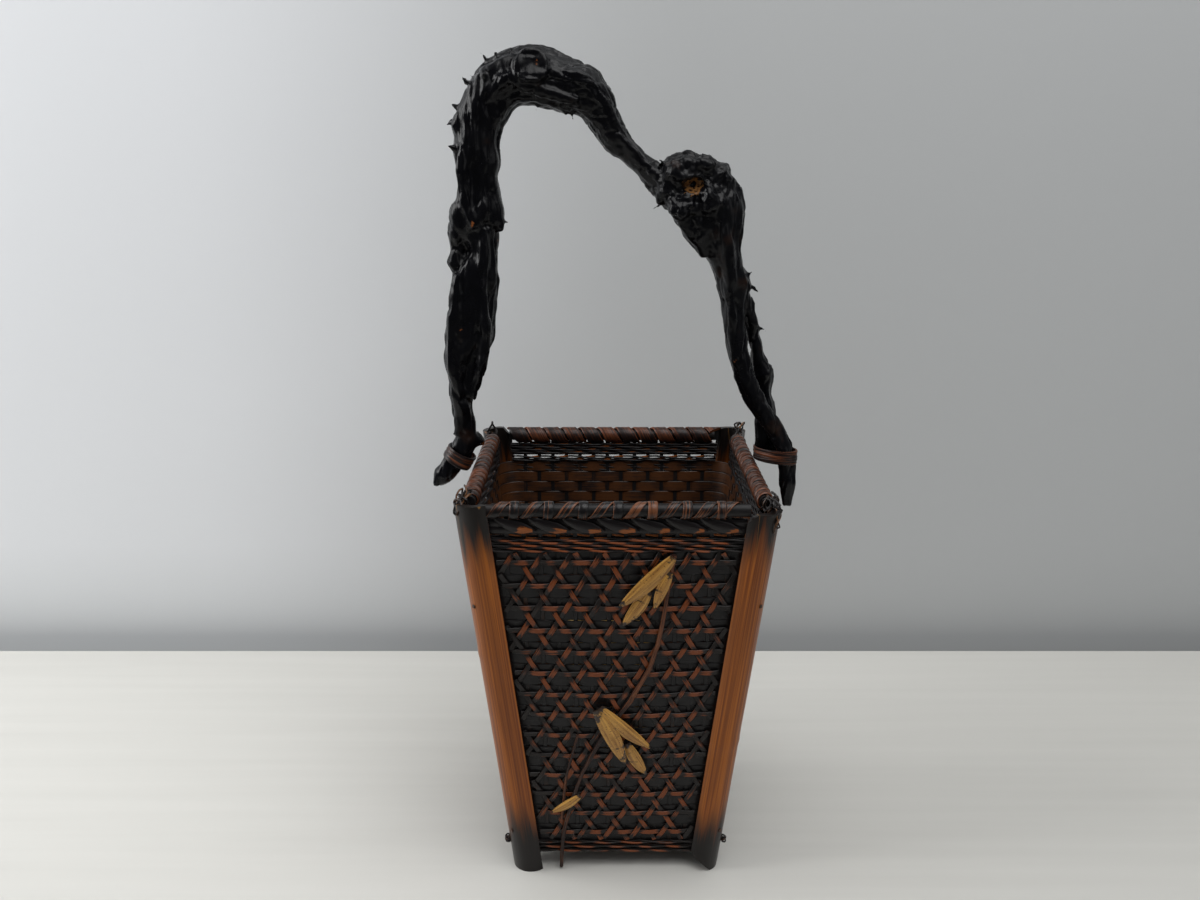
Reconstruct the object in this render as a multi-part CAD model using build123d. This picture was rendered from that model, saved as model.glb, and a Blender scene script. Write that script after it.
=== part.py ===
from build123d import *
import math
import os

# A four-sided woven bamboo flower basket. Split culm posts lean outwards at the corners, woven walls
# stand between them, a root arches over the mouth as a handle, and a loose culm inside holds the water.
# Lengths are in millimetres, X runs to the right, Y away from the viewer, Z up, the posts stand on Z 0.

# The frame that everything hangs on: height of the rim, and how far each post's centre line stands
# from the middle of the basket at the feet and at the rim.
rim_height = 250.0
corner_half_at_foot = 53.2
corner_half_at_rim = 80.2
seat_gap = 0.05
running_gap = 0.3
overrun = 20.0

# Corner posts of split culm
post_radius = 11.0
post_wall = 4.0
post_drop = 1.5
short_post_drop = 5.0
post_chamfer = 5.0
foot_cut_rise = 15.0
foot_cut_share = 0.62
septum_thickness = 2.0
septum_height_shares = {"front_left": 0.62, "front_right": 0.38, "back_right": 0.68, "back_left": 0.46}
peg_width = 1.8
peg_head = 0.5
peg_height_shares = (0.12, 0.75)
knot_radius = 2.1
knot_height = 4.6
knot_place = 18.0
knot_waist_share = 0.6

# Woven walls: flat stakes outside, flat wefts inside, rounded sheets in the corners
corner_radius = 14.0
lining_foot = 10.6
lining_drop = 31.0
lath_thickness = 0.6
weft_pitch = 7.1
weft_slit = 0.35
stake_pitch = 9.5
stake_width = 4.7

# Hexagonal over-weave of fine strips in three directions
weave_foot = 21.4
weave_strip = 3.0
weave_thickness = 0.5
weave_row = 14.35
weave_angle = 60.0
weave_margin = 0.8

# Twined bands and the folded stake ends
twining_drop = 22.7
top_twining_count = 5
foot_twining_count = 3
twining_thickness = 1.3
twining_slit = 0.2
fold_length = 17.6
fold_thickness = 1.0
fold_outline_shares = ((0.0, 0.55), (0.1, 1.0), (0.62, 0.86), (1.0, 0.0), (0.42, 0.2))

# Rim roll: two half-round hoops clamp the stakes and a cane winds round them
rim_roll_drop = 5.7
hoop_radius = 3.6
cane_width = 1.7
cane_side_count = 4
cane_turn_angle = 15.0
lash_side_count = 10
lash_length = 6.4
lash_inset = 1.5

# Floor mat and the two crossed laths that stiffen it
mat_height = 11.0
mat_strip = 9.0
mat_pitch = 9.6
brace_width = 8.0
brace_thickness = 1.5

# Root handle: how far its feet reach past the corners, its rise above the rim and its usual girth
handle_overhang = 19.8
handle_rise = 250.0
handle_girth = 30.0
handle_side_count = 10
lobe_share = 0.09
handle_lash_width = 1.8
handle_lash_turn_count = 2
handle_lash_pitch = 2.5
handle_lash_rise = 2.2
left_lash_radius = 10.4
left_lash_place_shares = (-0.965, 0.0)
left_lash_angle = 31.0
right_lash_radius = 15.2
right_lash_place_shares = (0.984, 0.14)
right_lash_angle = 0.0

# Applied sprig on the front
sprig_stem_girth = 2.6
sprig_twig_girth = 1.8
leaf_thickness = 0.9
leaf_station_shares = (0.12, 0.35, 0.65, 0.88)
leaf_fullness_share = 0.8
twig_side_count = 6

# Loose water tube
tube_radius = 31.0
tube_wall = 4.0
tube_height = 130.0
tube_septum = 3.0

lean = (corner_half_at_rim - corner_half_at_foot) / rim_height
tilt = math.atan(lean)
post_height = rim_height - post_drop
lining_top = rim_height - lining_drop
twining_top = rim_height - twining_drop
rim_roll_height = rim_height - rim_roll_drop
handle_half_span = corner_half_at_rim + handle_overhang
weft_layer = 2 * lath_thickness + seat_gap
wrap_pitch = 2 * stake_pitch
wrap_reach = hoop_radius + 2 * seat_gap + cane_width
rim_between_posts = 2 * (corner_half_at_rim - post_radius)
stake_count = math.floor(rim_between_posts / stake_pitch)
wrap_count = math.floor(rim_between_posts / wrap_pitch)
fold_top = rim_roll_height - wrap_reach - running_gap
side_turns = {side: 90 * number for number, side in enumerate(("front", "right", "back", "left"))}
corners = ("front_right", "back_right", "back_left", "front_left")
corner_turns = {corner: 90 * number for number, corner in enumerate(corners)}


def corner_half(z):
    """How far the posts' centre lines stand out at a height."""
    return corner_half_at_foot + lean * z


def wall_half(z):
    """How far the lining's outer face stands out, so that its round corners seat in the posts."""
    return corner_half(z) + corner_radius * (1 - math.sqrt(0.5)) - seat_gap


def flat_half(z):
    """Half the width of a wall's flat stretch at a height."""
    return wall_half(z) - corner_radius


def up(z):
    """Distance up the leaning wall for a height."""
    return z / math.cos(tilt)


front_wall = Plane(
    origin=(0, -wall_half(0), 0),
    x_dir=(1, 0, 0),
    z_dir=(0, -math.cos(tilt), -math.sin(tilt)),
)


def turned(shape, degrees):
    """A copy of a shape turned about the basket's upright middle."""
    return Rot(0, 0, degrees) * shape


def sheet(points, inner, thickness):
    """A flat piece drawn on the front wall, from its inner face outwards."""
    face = make_face(Polyline(*points, close=True))
    return front_wall.location * Pos(0, 0, inner) * extrude(face, thickness, dir=(0, 0, 1))


def band(low, high, half_low, half_high, inner, thickness):
    """A level strip between two heights whose ends follow the wall's edges."""
    points = [
        (-half_low, up(low)),
        (half_low, up(low)),
        (half_high, up(high)),
        (-half_high, up(high)),
    ]
    return sheet(points, inner, thickness)


def save(name, solids):
    """Write one node as a group of its separate solids."""
    export_step(Compound(children=list(solids)), f"parts/{name}.step")


def faceted_stick(stations, sides, lobes=0.0):
    """A gnarled stick of flat facets through stations of (centre, sideways, across, width, depth)."""
    rings = []
    for number, (centre, sideways, across, width, depth) in enumerate(stations):
        ring = []
        for step in range(sides):
            angle = 2 * math.pi * step / sides
            swell = 1 + lobes * math.sin(3 * angle + number)
            reach = sideways * (width / 2 * swell * math.cos(angle))
            ring.append(centre + reach + across * (depth / 2 * swell * math.sin(angle)))
        rings.append(ring)
    corners = [rings[0], rings[-1]]
    for lower, upper in zip(rings, rings[1:]):
        for step in range(sides):
            after = (step + 1) % sides
            corners.append([lower[step], lower[after], upper[after]])
            corners.append([lower[step], upper[after], upper[step]])
    return Solid(Shell([Face(Wire.make_polygon(corner, close=True)) for corner in corners]))


def biarc(start, start_way, end, end_way):
    """Two arcs that join smoothly and leave and arrive in the given directions."""
    gap = end - start
    both = start_way + end_way
    bend = 2 * (1 - start_way.dot(end_way))
    reach = (math.sqrt(gap.dot(both) ** 2 + bend * gap.dot(gap)) - gap.dot(both)) / bend
    middle = (start + end + (start_way - end_way) * reach) / 2
    middle_way = (end - end_way * reach) - (start + start_way * reach)
    first = TangentArc(start, middle, tangent=start_way)
    return [first, TangentArc(middle, end, tangent=middle_way)]


def winding(radius, pitch, turns, width, name):
    """One unbroken cane wound about the local X axis, centred on it, its ends running straight."""
    points = []
    ways = []
    for quarter in range(4 * turns + 1):
        angle = quarter * math.pi / 2
        along = pitch * (quarter / 4 - turns / 2)
        points.append(Vector(along, radius * math.sin(angle), -radius * math.cos(angle)))
        way = Vector(pitch / (2 * math.pi), radius * math.cos(angle), radius * math.sin(angle))
        ways.append(way.normalized())
    edges = [Line(points[0] - ways[0] * width, points[0])]
    for place in range(len(points) - 1):
        edges += biarc(points[place], ways[place], points[place + 1], ways[place + 1])
    edges.append(Line(points[-1], points[-1] + ways[-1] * width))
    path = Wire([edge.edge() for edge in edges])
    outline = RegularPolygon(width / 2, cane_side_count, rotation=cane_turn_angle)
    section = Plane(path @ 0, z_dir=path % 0) * outline
    print(name, "least gap to itself", round(least_gap(path, turns, width), 2))
    return sweep(section, path=path)


def least_gap(path, turns, width):
    """The closest that points half a turn or more apart come, less the cane's width."""
    per_turn = 24
    samples = [path @ (step / (per_turn * turns)) for step in range(per_turn * turns + 1)]
    nearest = min(
        (samples[later] - samples[early]).length
        for early in range(len(samples))
        for later in range(early + per_turn // 2, len(samples))
    )
    return nearest - width


def post(corner):
    """Half a culm leaning out over a corner, its split face towards the basket."""
    height = post_height - (short_post_drop if corner == "front_right" else 0)
    splay = math.atan(lean * math.sqrt(2))
    outwards = Vector(math.sqrt(0.5), -math.sqrt(0.5), 0)
    course = Plane(
        origin=(corner_half_at_foot, -corner_half_at_foot, 0),
        x_dir=outwards * math.cos(splay) - Vector(0, 0, math.sin(splay)),
        z_dir=outwards * math.sin(splay) + Vector(0, 0, math.cos(splay)),
    )
    outer_half = Pos(post_radius, 0) * Rectangle(2 * post_radius, 4 * post_radius)
    half_ring = (Circle(post_radius) - Circle(post_radius - post_wall)) & outer_half
    culm = extrude(Pos(0, 0, -overrun) * half_ring, height + 3 * overrun)
    half_disc = Circle(post_radius - post_wall / 2) & outer_half
    septum_place = post_height * septum_height_shares[corner]
    culm += extrude(Pos(0, 0, septum_place) * half_disc, septum_thickness)
    slab = Pos(corner_half(height / 2), -corner_half(height / 2), height / 2)
    shaft = (course.location * culm) & (slab * Box(4 * overrun, 4 * overrun, height))
    for share in peg_height_shares:
        shaft -= peg_blank(post_height * share, peg_width + 2 * seat_gap, overrun)
    top_half = corner_half(height)
    cutter = Box(2 * post_chamfer, overrun, 2 * post_chamfer)
    shaft -= Pos(top_half - post_radius * math.sqrt(0.5), -top_half, height) * Rot(0, 45, 0) * cutter
    if corner == "front_right":
        reach = 2 * post_radius * foot_cut_share
        wedge = make_face(Polyline((0, 0), (reach, 0), (0, foot_cut_rise), close=True))
        wedge = extrude(Plane.XZ * wedge, 2 * overrun, both=True)
        inner_edge = corner_half_at_foot - post_radius * math.sqrt(0.5)
        shaft -= Pos(inner_edge, -corner_half_at_foot, 0) * wedge
    return turned(shaft, corner_turns[corner])


def peg_blank(height, width, length):
    """A square pin lying level and square to the corner, from the lining's round corner outwards."""
    half = corner_half(height)
    blank = Pos(length / 2, 0, 0) * Box(length, width, width)
    return Pos(half, -half, height) * Rot(0, 0, -45) * Pos(seat_gap, 0, 0) * blank


def post_pegs():
    """Square bamboo pins that hold the posts to the lining's corners."""
    pegs = []
    for degrees in corner_turns.values():
        for share in peg_height_shares:
            peg = peg_blank(post_height * share, peg_width, post_radius + peg_head)
            pegs.append(turned(peg, degrees))
    return pegs


def foot_knots():
    """Knotted cane ends on the outer side of each post, just above its foot."""
    knots = []
    for across in (-1, 1):
        for away in (-1, 1):
            half = corner_half(knot_place)
            out = half + post_radius + knot_radius + seat_gap
            centre = Vector(across * out, away * half, knot_place)
            stations = []
            for share, rise in ((knot_waist_share, -1), (1, 0), (knot_waist_share, 1)):
                place = centre + Vector(across * lean, away * lean, 1) * (rise * knot_height / 2)
                girth = 2 * knot_radius * share
                stations.append((place, Vector(1, 0, 0), Vector(0, 1, 0), girth, girth))
            knots.append(faceted_stick(stations, twig_side_count))
    return knots


def stakes_and_wefts():
    """One flat wall of the lining: upright stakes outside and level wefts inside them."""
    pieces = []
    last = (stake_count - 1) / 2
    for number in range(stake_count):
        place = (number - last) * stake_pitch
        edge = abs(place) + stake_width / 2 + seat_gap
        start = max(lining_foot, (edge - flat_half(0)) / lean)
        end = twining_top if abs(number - last) == last else rim_roll_height + hoop_radius
        left = place - stake_width / 2
        right = place + stake_width / 2
        points = [(left, up(start)), (right, up(start)), (right, up(end)), (left, up(end))]
        pieces.append(sheet(points, -lath_thickness, lath_thickness))
    rows = round((lining_top - lining_foot) / weft_pitch)
    pitch = (lining_top - lining_foot) / rows
    for row in range(rows):
        low = lining_foot + row * pitch
        high = low + pitch - weft_slit
        half_low = flat_half(low) - seat_gap
        half_high = flat_half(high) - seat_gap
        pieces.append(band(low, high, half_low, half_high, -weft_layer, lath_thickness))
    return pieces


def lining_corner():
    """The rounded sheet that carries the wefts round one corner, inside the post."""
    centre = flat_half(lining_foot)
    ring = Circle(corner_radius) - Circle(corner_radius - weft_layer)
    quarter = ring & Pos(corner_radius, -corner_radius) * Rectangle(2 * corner_radius, 2 * corner_radius)
    top = rim_roll_height - hoop_radius - 2 * cane_width
    length = (top - lining_foot) * math.sqrt(1 + 2 * lean**2)
    blank = extrude(quarter, length, dir=Vector(lean, -lean, 1).normalized())
    return Pos(centre, -centre, lining_foot) * blank


def weave_half(z):
    """Half the width that the over-weave has between the posts."""
    return corner_half(z) - post_radius * math.sqrt(0.5) - weave_margin


def weave_strips(degrees, layer):
    """The strips of the over-weave that run one way on the front wall."""
    low, high = up(weave_foot), up(lining_top)
    half_low, half_high = weave_half(weave_foot), weave_half(lining_top)
    zone = make_face(
        Polyline((-half_low, low), (half_low, low), (half_high, high), (-half_high, high), close=True)
    )
    inner = seat_gap + layer * (weave_thickness + seat_gap)
    middle = (low + high) / 2
    reach = math.hypot(high - low, 2 * half_high)
    count = math.ceil(reach / weave_row)
    strips = []
    for number in range(-count, count + 1):
        offset = (number + 0.5) * weave_row if degrees == 0 else number * weave_row
        blank = Pos(0, middle) * Rot(0, 0, degrees) * Pos(0, offset) * Rectangle(2 * reach, weave_strip)
        for face in (zone & blank).faces() if zone & blank else []:
            if face.area > weave_strip**2:
                solid = extrude(face, weave_thickness, dir=(0, 0, 1))
                strips.append(front_wall.location * Pos(0, 0, inner) * solid)
    return strips


def twined_rows(foot, top, rows, both_sides):
    """Level rows of twined cane on a wall's face, outside and, near the mouth, inside too."""
    pieces = []
    pitch = (top - foot) / rows
    for row in range(rows):
        low = foot + row * pitch + twining_slit
        high = low + pitch - twining_slit
        half = weave_half(low)
        pieces.append(band(low, high, half, half, seat_gap, twining_thickness))
        if both_sides:
            half = flat_half(low) - seat_gap
            inner = -lath_thickness - seat_gap - twining_thickness
            pieces.append(band(low, high, half, half, inner, twining_thickness))
    return pieces


def folded_ends():
    """Pointed ends of the stakes, folded over to the right under the rim."""
    foot = twining_top + twining_slit
    leaves = []
    for number in range(wrap_count):
        start = (number - wrap_count / 2) * wrap_pitch
        points = [
            (start + fold_length * along, up(foot + (fold_top - foot) * rise))
            for along, rise in fold_outline_shares
        ]
        leaves.append(sheet(points, seat_gap, fold_thickness))
    return leaves


def rim_axis():
    """Where the rim roll's axis lies on the front wall, in the middle of the stakes."""
    return front_wall.location * Pos(0, up(rim_roll_height), -lath_thickness / 2)


def rim_hoops():
    """The outer and inner half-round hoops of one rim, with the stakes clamped between them."""
    slot = lath_thickness + 2 * seat_gap
    hoops = []
    for outwards in (1, -1):
        keep = Pos(outwards * (slot / 2 + hoop_radius), 0) * Rectangle(2 * hoop_radius, 2 * hoop_radius)
        profile = Circle(hoop_radius) & keep
        half = weave_half(rim_roll_height) if outwards > 0 else flat_half(rim_roll_height)
        bar = extrude(Plane(origin=(0, 0, 0), x_dir=(0, 0, 1), z_dir=(1, 0, 0)) * profile, half, both=True)
        hoops.append(rim_axis() * bar)
    return hoops


def rim_binding(wraps):
    """The cane wound round one rim, each turn passing between two stakes below it."""
    radius = wrap_reach - cane_width / 2
    return rim_axis() * Rot(-90, 0, 0) * winding(radius, wrap_pitch, wraps, cane_width, "rim binding")


def corner_lashing(end):
    """A tight collar of cane round a side rim's end that ties it to the post beside it."""
    outline = RegularPolygon(wrap_reach, lash_side_count)
    outline -= RegularPolygon(hoop_radius + seat_gap, lash_side_count, major_radius=False)
    collar = extrude(Plane.YZ * outline, lash_length / 2, both=True)
    place = flat_half(rim_roll_height) - lash_inset - lash_length / 2
    return rim_axis() * Pos(end * place, 0, 0) * collar


def floor_mat():
    """Two layers of flat strips that cross under the water tube."""
    half = wall_half(mat_height) - weft_layer / math.cos(tilt) - seat_gap
    area = RectangleRounded(2 * half, 2 * half, corner_radius - weft_layer)
    count = int((half - mat_strip / 2) // mat_pitch)
    pieces = []
    for layer, degrees in enumerate((0, 90)):
        level = mat_height + layer * (lath_thickness + seat_gap)
        for number in range(-count, count + 1):
            strip = Rot(0, 0, degrees) * Pos(0, number * mat_pitch) * Rectangle(3 * half, mat_strip)
            pieces.append(extrude(Pos(0, 0, level) * (area & strip), lath_thickness, dir=(0, 0, 1)))
    return pieces


def floor_braces():
    """Two crossed laths under the mat, their ends seated in the hollows of the posts."""
    braces = []
    for layer, degrees in enumerate((45, 135)):
        bottom = lining_foot - seat_gap - (layer + 1) * (brace_thickness + seat_gap)
        hollow = post_radius - post_wall
        into_post = math.sqrt(hollow**2 - (brace_width / 2) ** 2) - running_gap
        reach = corner_half(bottom) * math.sqrt(2) + into_post
        lath = Pos(0, 0, bottom + brace_thickness / 2) * Box(2 * reach, brace_width, brace_thickness)
        braces.append(turned(lath, degrees))
    return braces


# The root handle's course from its left foot over the arch and the burl to its right foot: shares of
# the half span, of the rise above the rim, and of the girth for its width and its depth.
handle_course_shares = [
    (-1.13, -0.064, 0.14, 0.30),
    (-1.075, -0.04, 0.42, 0.42),
    (-1.0, 0.0, 0.46, 0.46),
    (-0.94, 0.04, 0.48, 0.46),
    (-0.925, 0.08, 0.41, 0.46),
    (-0.94, 0.12, 0.43, 0.46),
    (-0.945, 0.16, 0.50, 0.52),
    (-0.94, 0.2, 0.60, 0.62),
    (-0.93, 0.24, 0.76, 0.72),
    (-0.91, 0.28, 0.90, 0.78),
    (-0.88, 0.32, 0.99, 0.80),
    (-0.86, 0.36, 0.91, 0.80),
    (-0.85, 0.41, 0.92, 0.80),
    (-0.83, 0.46, 0.90, 0.78),
    (-0.795, 0.505, 0.62, 0.66),
    (-0.80, 0.54, 0.70, 0.70),
    (-0.83, 0.58, 1.00, 0.80),
    (-0.81, 0.61, 1.06, 0.84),
    (-0.805, 0.64, 0.86, 0.80),
    (-0.808, 0.68, 0.82, 0.78),
    (-0.805, 0.72, 0.92, 0.82),
    (-0.81, 0.76, 0.88, 0.84),
    (-0.80, 0.795, 0.90, 0.84),
    (-0.77, 0.83, 0.96, 0.86),
    (-0.70, 0.875, 1.00, 0.90),
    (-0.60, 0.905, 1.10, 0.94),
    (-0.49, 0.915, 1.22, 0.98),
    (-0.385, 0.90, 1.14, 0.96),
    (-0.28, 0.882, 1.02, 0.92),
    (-0.20, 0.872, 0.98, 0.86),
    (-0.125, 0.845, 0.80, 0.78),
    (-0.075, 0.81, 0.66, 0.68),
    (-0.01, 0.77, 0.56, 0.58),
    (0.08, 0.735, 0.44, 0.48),
    (0.18, 0.70, 0.44, 0.50),
    (0.27, 0.675, 0.70, 0.72),
    (0.37, 0.685, 1.10, 1.10),
    (0.47, 0.675, 1.32, 1.26),
    (0.56, 0.63, 1.26, 1.20),
    (0.605, 0.57, 1.00, 0.98),
    (0.635, 0.51, 0.72, 0.76),
    (0.665, 0.47, 0.64, 0.66),
    (0.69, 0.43, 0.62, 0.60),
    (0.695, 0.39, 0.50, 0.54),
    (0.715, 0.31, 0.44, 0.48),
    (0.75, 0.25, 0.43, 0.46),
    (0.785, 0.21, 0.42, 0.44),
    (0.83, 0.17, 0.41, 0.42),
    (0.89, 0.13, 0.40, 0.40),
    (0.96, 0.09, 0.37, 0.38),
    (1.02, 0.05, 0.36, 0.36),
    (1.055, 0.01, 0.36, 0.36),
    (1.07, -0.05, 0.36, 0.34),
    (1.075, -0.12, 0.20, 0.22),
]

# The side stem that leaves the right leg and comes down behind it, with its set back in shares too
stem_course_shares = [
    (0.72, 0.425, 0.10, 0.30, 0.30),
    (0.80, 0.375, 0.22, 0.30, 0.30),
    (0.84, 0.31, 0.32, 0.28, 0.30),
    (0.88, 0.25, 0.38, 0.27, 0.30),
    (0.915, 0.208, 0.42, 0.42, 0.42),
    (0.925, 0.165, 0.45, 0.30, 0.34),
    (0.94, 0.10, 0.42, 0.44, 0.36),
    (0.945, 0.008, 0.37, 0.46, 0.30),
]


def root_stick(course):
    """A gnarled stick through (x, z, y, width, depth) stations, its rings square to its course."""
    stations = []
    for number, (x, z, y, width, depth) in enumerate(course):
        before = course[max(number - 1, 0)]
        after = course[min(number + 1, len(course) - 1)]
        way = Vector(after[0] - before[0], 0, after[1] - before[1]).normalized()
        sideways = Vector(way.Z, 0, -way.X)
        stations.append((Vector(x, y, z), sideways, Vector(0, 1, 0), width, depth))
    return faceted_stick(stations, handle_side_count, lobes=lobe_share)


def handle_root():
    """The lacquered root: one arch from foot to foot, with its side stem grown on."""
    arch = [
        (handle_half_span * x, rim_height + handle_rise * z, 0, handle_girth * width, handle_girth * depth)
        for x, z, width, depth in handle_course_shares
    ]
    stem = [
        (
            handle_half_span * x,
            rim_height + handle_rise * z,
            handle_girth * y,
            handle_girth * width,
            handle_girth * depth,
        )
        for x, z, y, width, depth in stem_course_shares
    ]
    return root_stick(arch) + root_stick(stem)


def handle_lashing(place_shares, leg_angle, radius):
    """A lashing of cane square to a foot of the handle, resting on the rim."""
    across, away = place_shares
    coil = winding(radius, handle_lash_pitch, handle_lash_turn_count, handle_lash_width, "handle lashing")
    place = Pos(handle_half_span * across, handle_girth * away, rim_height + handle_lash_rise)
    return place * Rot(0, leg_angle - 90, 0) * coil


# The sprig, in shares of the post height up the front and of the rim's corner half across it
stem_place_shares = [
    (0.387, 0.878),
    (0.338, 0.686),
    (0.236, 0.588),
    (0.142, 0.527),
    (0.025, 0.462),
    (-0.117, 0.394),
    (-0.272, 0.279),
    (-0.312, 0.236),
    (-0.368, 0.169),
    (-0.411, 0.084),
    (-0.424, 0.008),
]
twig_place_shares = [(-0.285, 0.408), (-0.373, 0.294), (-0.414, 0.160)]

# Each leaf: its root, its tip, its width as a share of its length, and what it lies on
leaf_shares = [
    ((0.405, 0.880), (0.011, 0.754), 0.22, "stem"),
    ((0.375, 0.842), (0.262, 0.749), 0.24, "stem"),
    ((0.215, 0.785), (0.037, 0.702), 0.26, "weave"),
    ((-0.130, 0.491), (0.256, 0.374), 0.20, "stem"),
    ((-0.162, 0.485), (0.066, 0.330), 0.22, "leaf"),
    ((0.075, 0.385), (0.226, 0.291), 0.26, "weave"),
    ((-0.268, 0.234), (-0.492, 0.181), 0.24, "stem"),
]


def on_front(shares, depth):
    """A point on the front, out from the wall's face by a depth."""
    x = corner_half_at_rim * shares[0]
    z = post_height * shares[1]
    return front_wall.from_local_coords(Vector(x, up(z), depth))


def twig(places, girth):
    """A thin bamboo twig lying on the over-weave, tapering towards its end."""
    weave_face = 3 * (weave_thickness + seat_gap) + seat_gap
    points = [on_front(shares, weave_face + girth / 2 + running_gap) for shares in places]
    stations = []
    for number, point in enumerate(points):
        before = points[max(number - 1, 0)]
        after = points[min(number + 1, len(points) - 1)]
        across = front_wall.z_dir
        sideways = (after - before).normalized().cross(across).normalized()
        stations.append((point, sideways, across, girth, girth))
    return faceted_stick(stations, twig_side_count)


def leaf(root, tip, width_share, depth):
    """A pointed leaf, widest before its middle."""
    start = Vector(corner_half_at_rim * root[0], up(post_height * root[1]))
    end = Vector(corner_half_at_rim * tip[0], up(post_height * tip[1]))
    way = (end - start).normalized()
    side = Vector(-way.Y, way.X)
    length = (end - start).length
    right = []
    left = []
    for station_share in leaf_station_shares:
        half_width = length * width_share / 2 * math.sin(math.pi * station_share**leaf_fullness_share)
        right.append(start + way * (length * station_share) + side * half_width)
        left.append(start + way * (length * station_share) - side * half_width)
    return sheet([start, *right, end, *reversed(left)], depth, leaf_thickness)


def leaves():
    """The sprig's leaves, tied on over the stem, over each other or flat on the over-weave."""
    on_weave = 3 * (weave_thickness + seat_gap) + seat_gap + running_gap
    on_stem = on_weave + sprig_stem_girth + running_gap
    depths = {"weave": on_weave, "stem": on_stem, "leaf": on_stem + leaf_thickness + seat_gap}
    return [leaf(root, tip, width_share, depths[rest]) for root, tip, width_share, rest in leaf_shares]


def water_tube():
    """A length of culm, closed by its own septum, that stands loose on the mat."""
    foot = mat_height + 2 * lath_thickness + seat_gap + running_gap
    outside = Circle(tube_radius)
    tube = extrude(outside - Circle(tube_radius - tube_wall), tube_height)
    septum = extrude(Circle(tube_radius - tube_wall / 2), tube_septum)
    return Pos(0, 0, foot) * (tube + septum)


os.makedirs("parts", exist_ok=True)

for corner, degrees in corner_turns.items():
    save(f"post_{corner}", [post(corner)])
    save(f"lining_corner_{corner}", [turned(lining_corner(), degrees)])
save("post_pegs", post_pegs())
save("foot_knots", foot_knots())

wall = stakes_and_wefts()
weave = {
    "hex_rising": weave_strips(weave_angle, 0),
    "hex_level": weave_strips(0, 1),
    "hex_falling": weave_strips(-weave_angle, 2),
}
top_rows = twined_rows(lining_top, twining_top, top_twining_count, True)
foot_rows = twined_rows(lining_foot, weave_foot, foot_twining_count, False)
folds = folded_ends()
hoops = rim_hoops()
lashings = [corner_lashing(end) for end in (-1, 1)]
for side, degrees in side_turns.items():
    save(f"lining_{side}", [turned(piece, degrees) for piece in wall])
    for name, strips in weave.items():
        save(f"{name}_{side}", [turned(strip, degrees) for strip in strips])
    save(f"top_twining_{side}", [turned(row, degrees) for row in top_rows])
    save(f"foot_twining_{side}", [turned(row, degrees) for row in foot_rows])
    save(f"folded_ends_{side}", [turned(fold, degrees) for fold in folds])
    save(f"rim_hoops_{side}", [turned(hoop, degrees) for hoop in hoops])
bindings = {"front": rim_binding(wrap_count), "right": rim_binding(wrap_count - 1)}
bindings |= {"back": bindings["front"], "left": bindings["right"]}
save("rim_binding", [turned(bindings[side], degrees) for side, degrees in side_turns.items()])
side_rims = (side_turns["left"], side_turns["right"])
save("corner_lashings", [turned(lashing, degrees) for degrees in side_rims for lashing in lashings])
save("floor_mat", floor_mat())
save("floor_braces", floor_braces())

save("handle_root", [handle_root()])
left_lashing = handle_lashing(left_lash_place_shares, left_lash_angle, left_lash_radius)
right_lashing = handle_lashing(right_lash_place_shares, right_lash_angle, right_lash_radius)
save("handle_lashings", [left_lashing, right_lashing])

save("sprig_stem", [twig(stem_place_shares, sprig_stem_girth)])
save("sprig_twig", [twig(twig_place_shares, sprig_twig_girth)])
save("sprig_leaves", leaves())
save("water_tube", [water_tube()])
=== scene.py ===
import bmesh
import bpy
import random
from math import atan, cos, exp, hypot, pi, radians, sin, sqrt
from mathutils import Matrix, Vector
from mathutils.noise import noise


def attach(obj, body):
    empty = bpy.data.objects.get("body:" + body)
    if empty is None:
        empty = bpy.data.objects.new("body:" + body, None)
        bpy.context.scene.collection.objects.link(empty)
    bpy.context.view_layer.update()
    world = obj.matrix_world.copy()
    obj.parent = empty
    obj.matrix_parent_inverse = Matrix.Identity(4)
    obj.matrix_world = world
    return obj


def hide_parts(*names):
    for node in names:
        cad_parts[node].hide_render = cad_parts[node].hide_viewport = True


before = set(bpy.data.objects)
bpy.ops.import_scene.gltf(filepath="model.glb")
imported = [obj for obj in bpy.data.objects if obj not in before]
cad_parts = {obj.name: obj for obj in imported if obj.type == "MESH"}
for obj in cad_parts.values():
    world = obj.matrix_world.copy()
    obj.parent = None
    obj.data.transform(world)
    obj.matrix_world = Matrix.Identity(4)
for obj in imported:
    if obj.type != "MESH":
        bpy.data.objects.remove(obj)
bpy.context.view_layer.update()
vary = random.Random(17).uniform

# Corner posts: half culms of madake bamboo, smoked orange-brown, polished with oil, and scorched
# black at both ends. They lean out with the walls and are pinned to the lining's round corners.
mm = 0.001
diagonal = sqrt(0.5)
corner_half_at_foot, corner_half_at_rim, rim_height = 53.2, 80.2, 250.0
lean = (corner_half_at_rim - corner_half_at_foot) / rim_height
tilt = atan(lean)
post_radius, post_wall = 11.0, 4.0
post_top, short_post_top, post_chamfer = 248.5, 243.5, 5.0
foot_cut_rise, foot_cut_width = 15.0, 13.6
node_ring, node_spread, skin_ripple = 0.35, 2.2, 0.12
post_steps, outer_steps, inner_steps = 60, 22, 12
corner_turns = {"front_right": 0, "back_right": 90, "back_left": 180, "front_left": 270}
septum_heights = {"front_right": 94.4, "back_right": 169.0, "back_left": 114.3, "front_left": 154.1}


def corner_half(z):
    """How far a post's centre line stands out at a height."""
    return corner_half_at_foot + lean * z


def hex_colour(code):
    """An sRGB hex colour as linear light."""
    parts = [int(code[i : i + 2], 16) / 255 for i in (0, 2, 4)]
    return [c / 12.92 if c <= 0.04045 else ((c + 0.055) / 1.055) ** 2.4 for c in parts] + [1.0]


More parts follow.
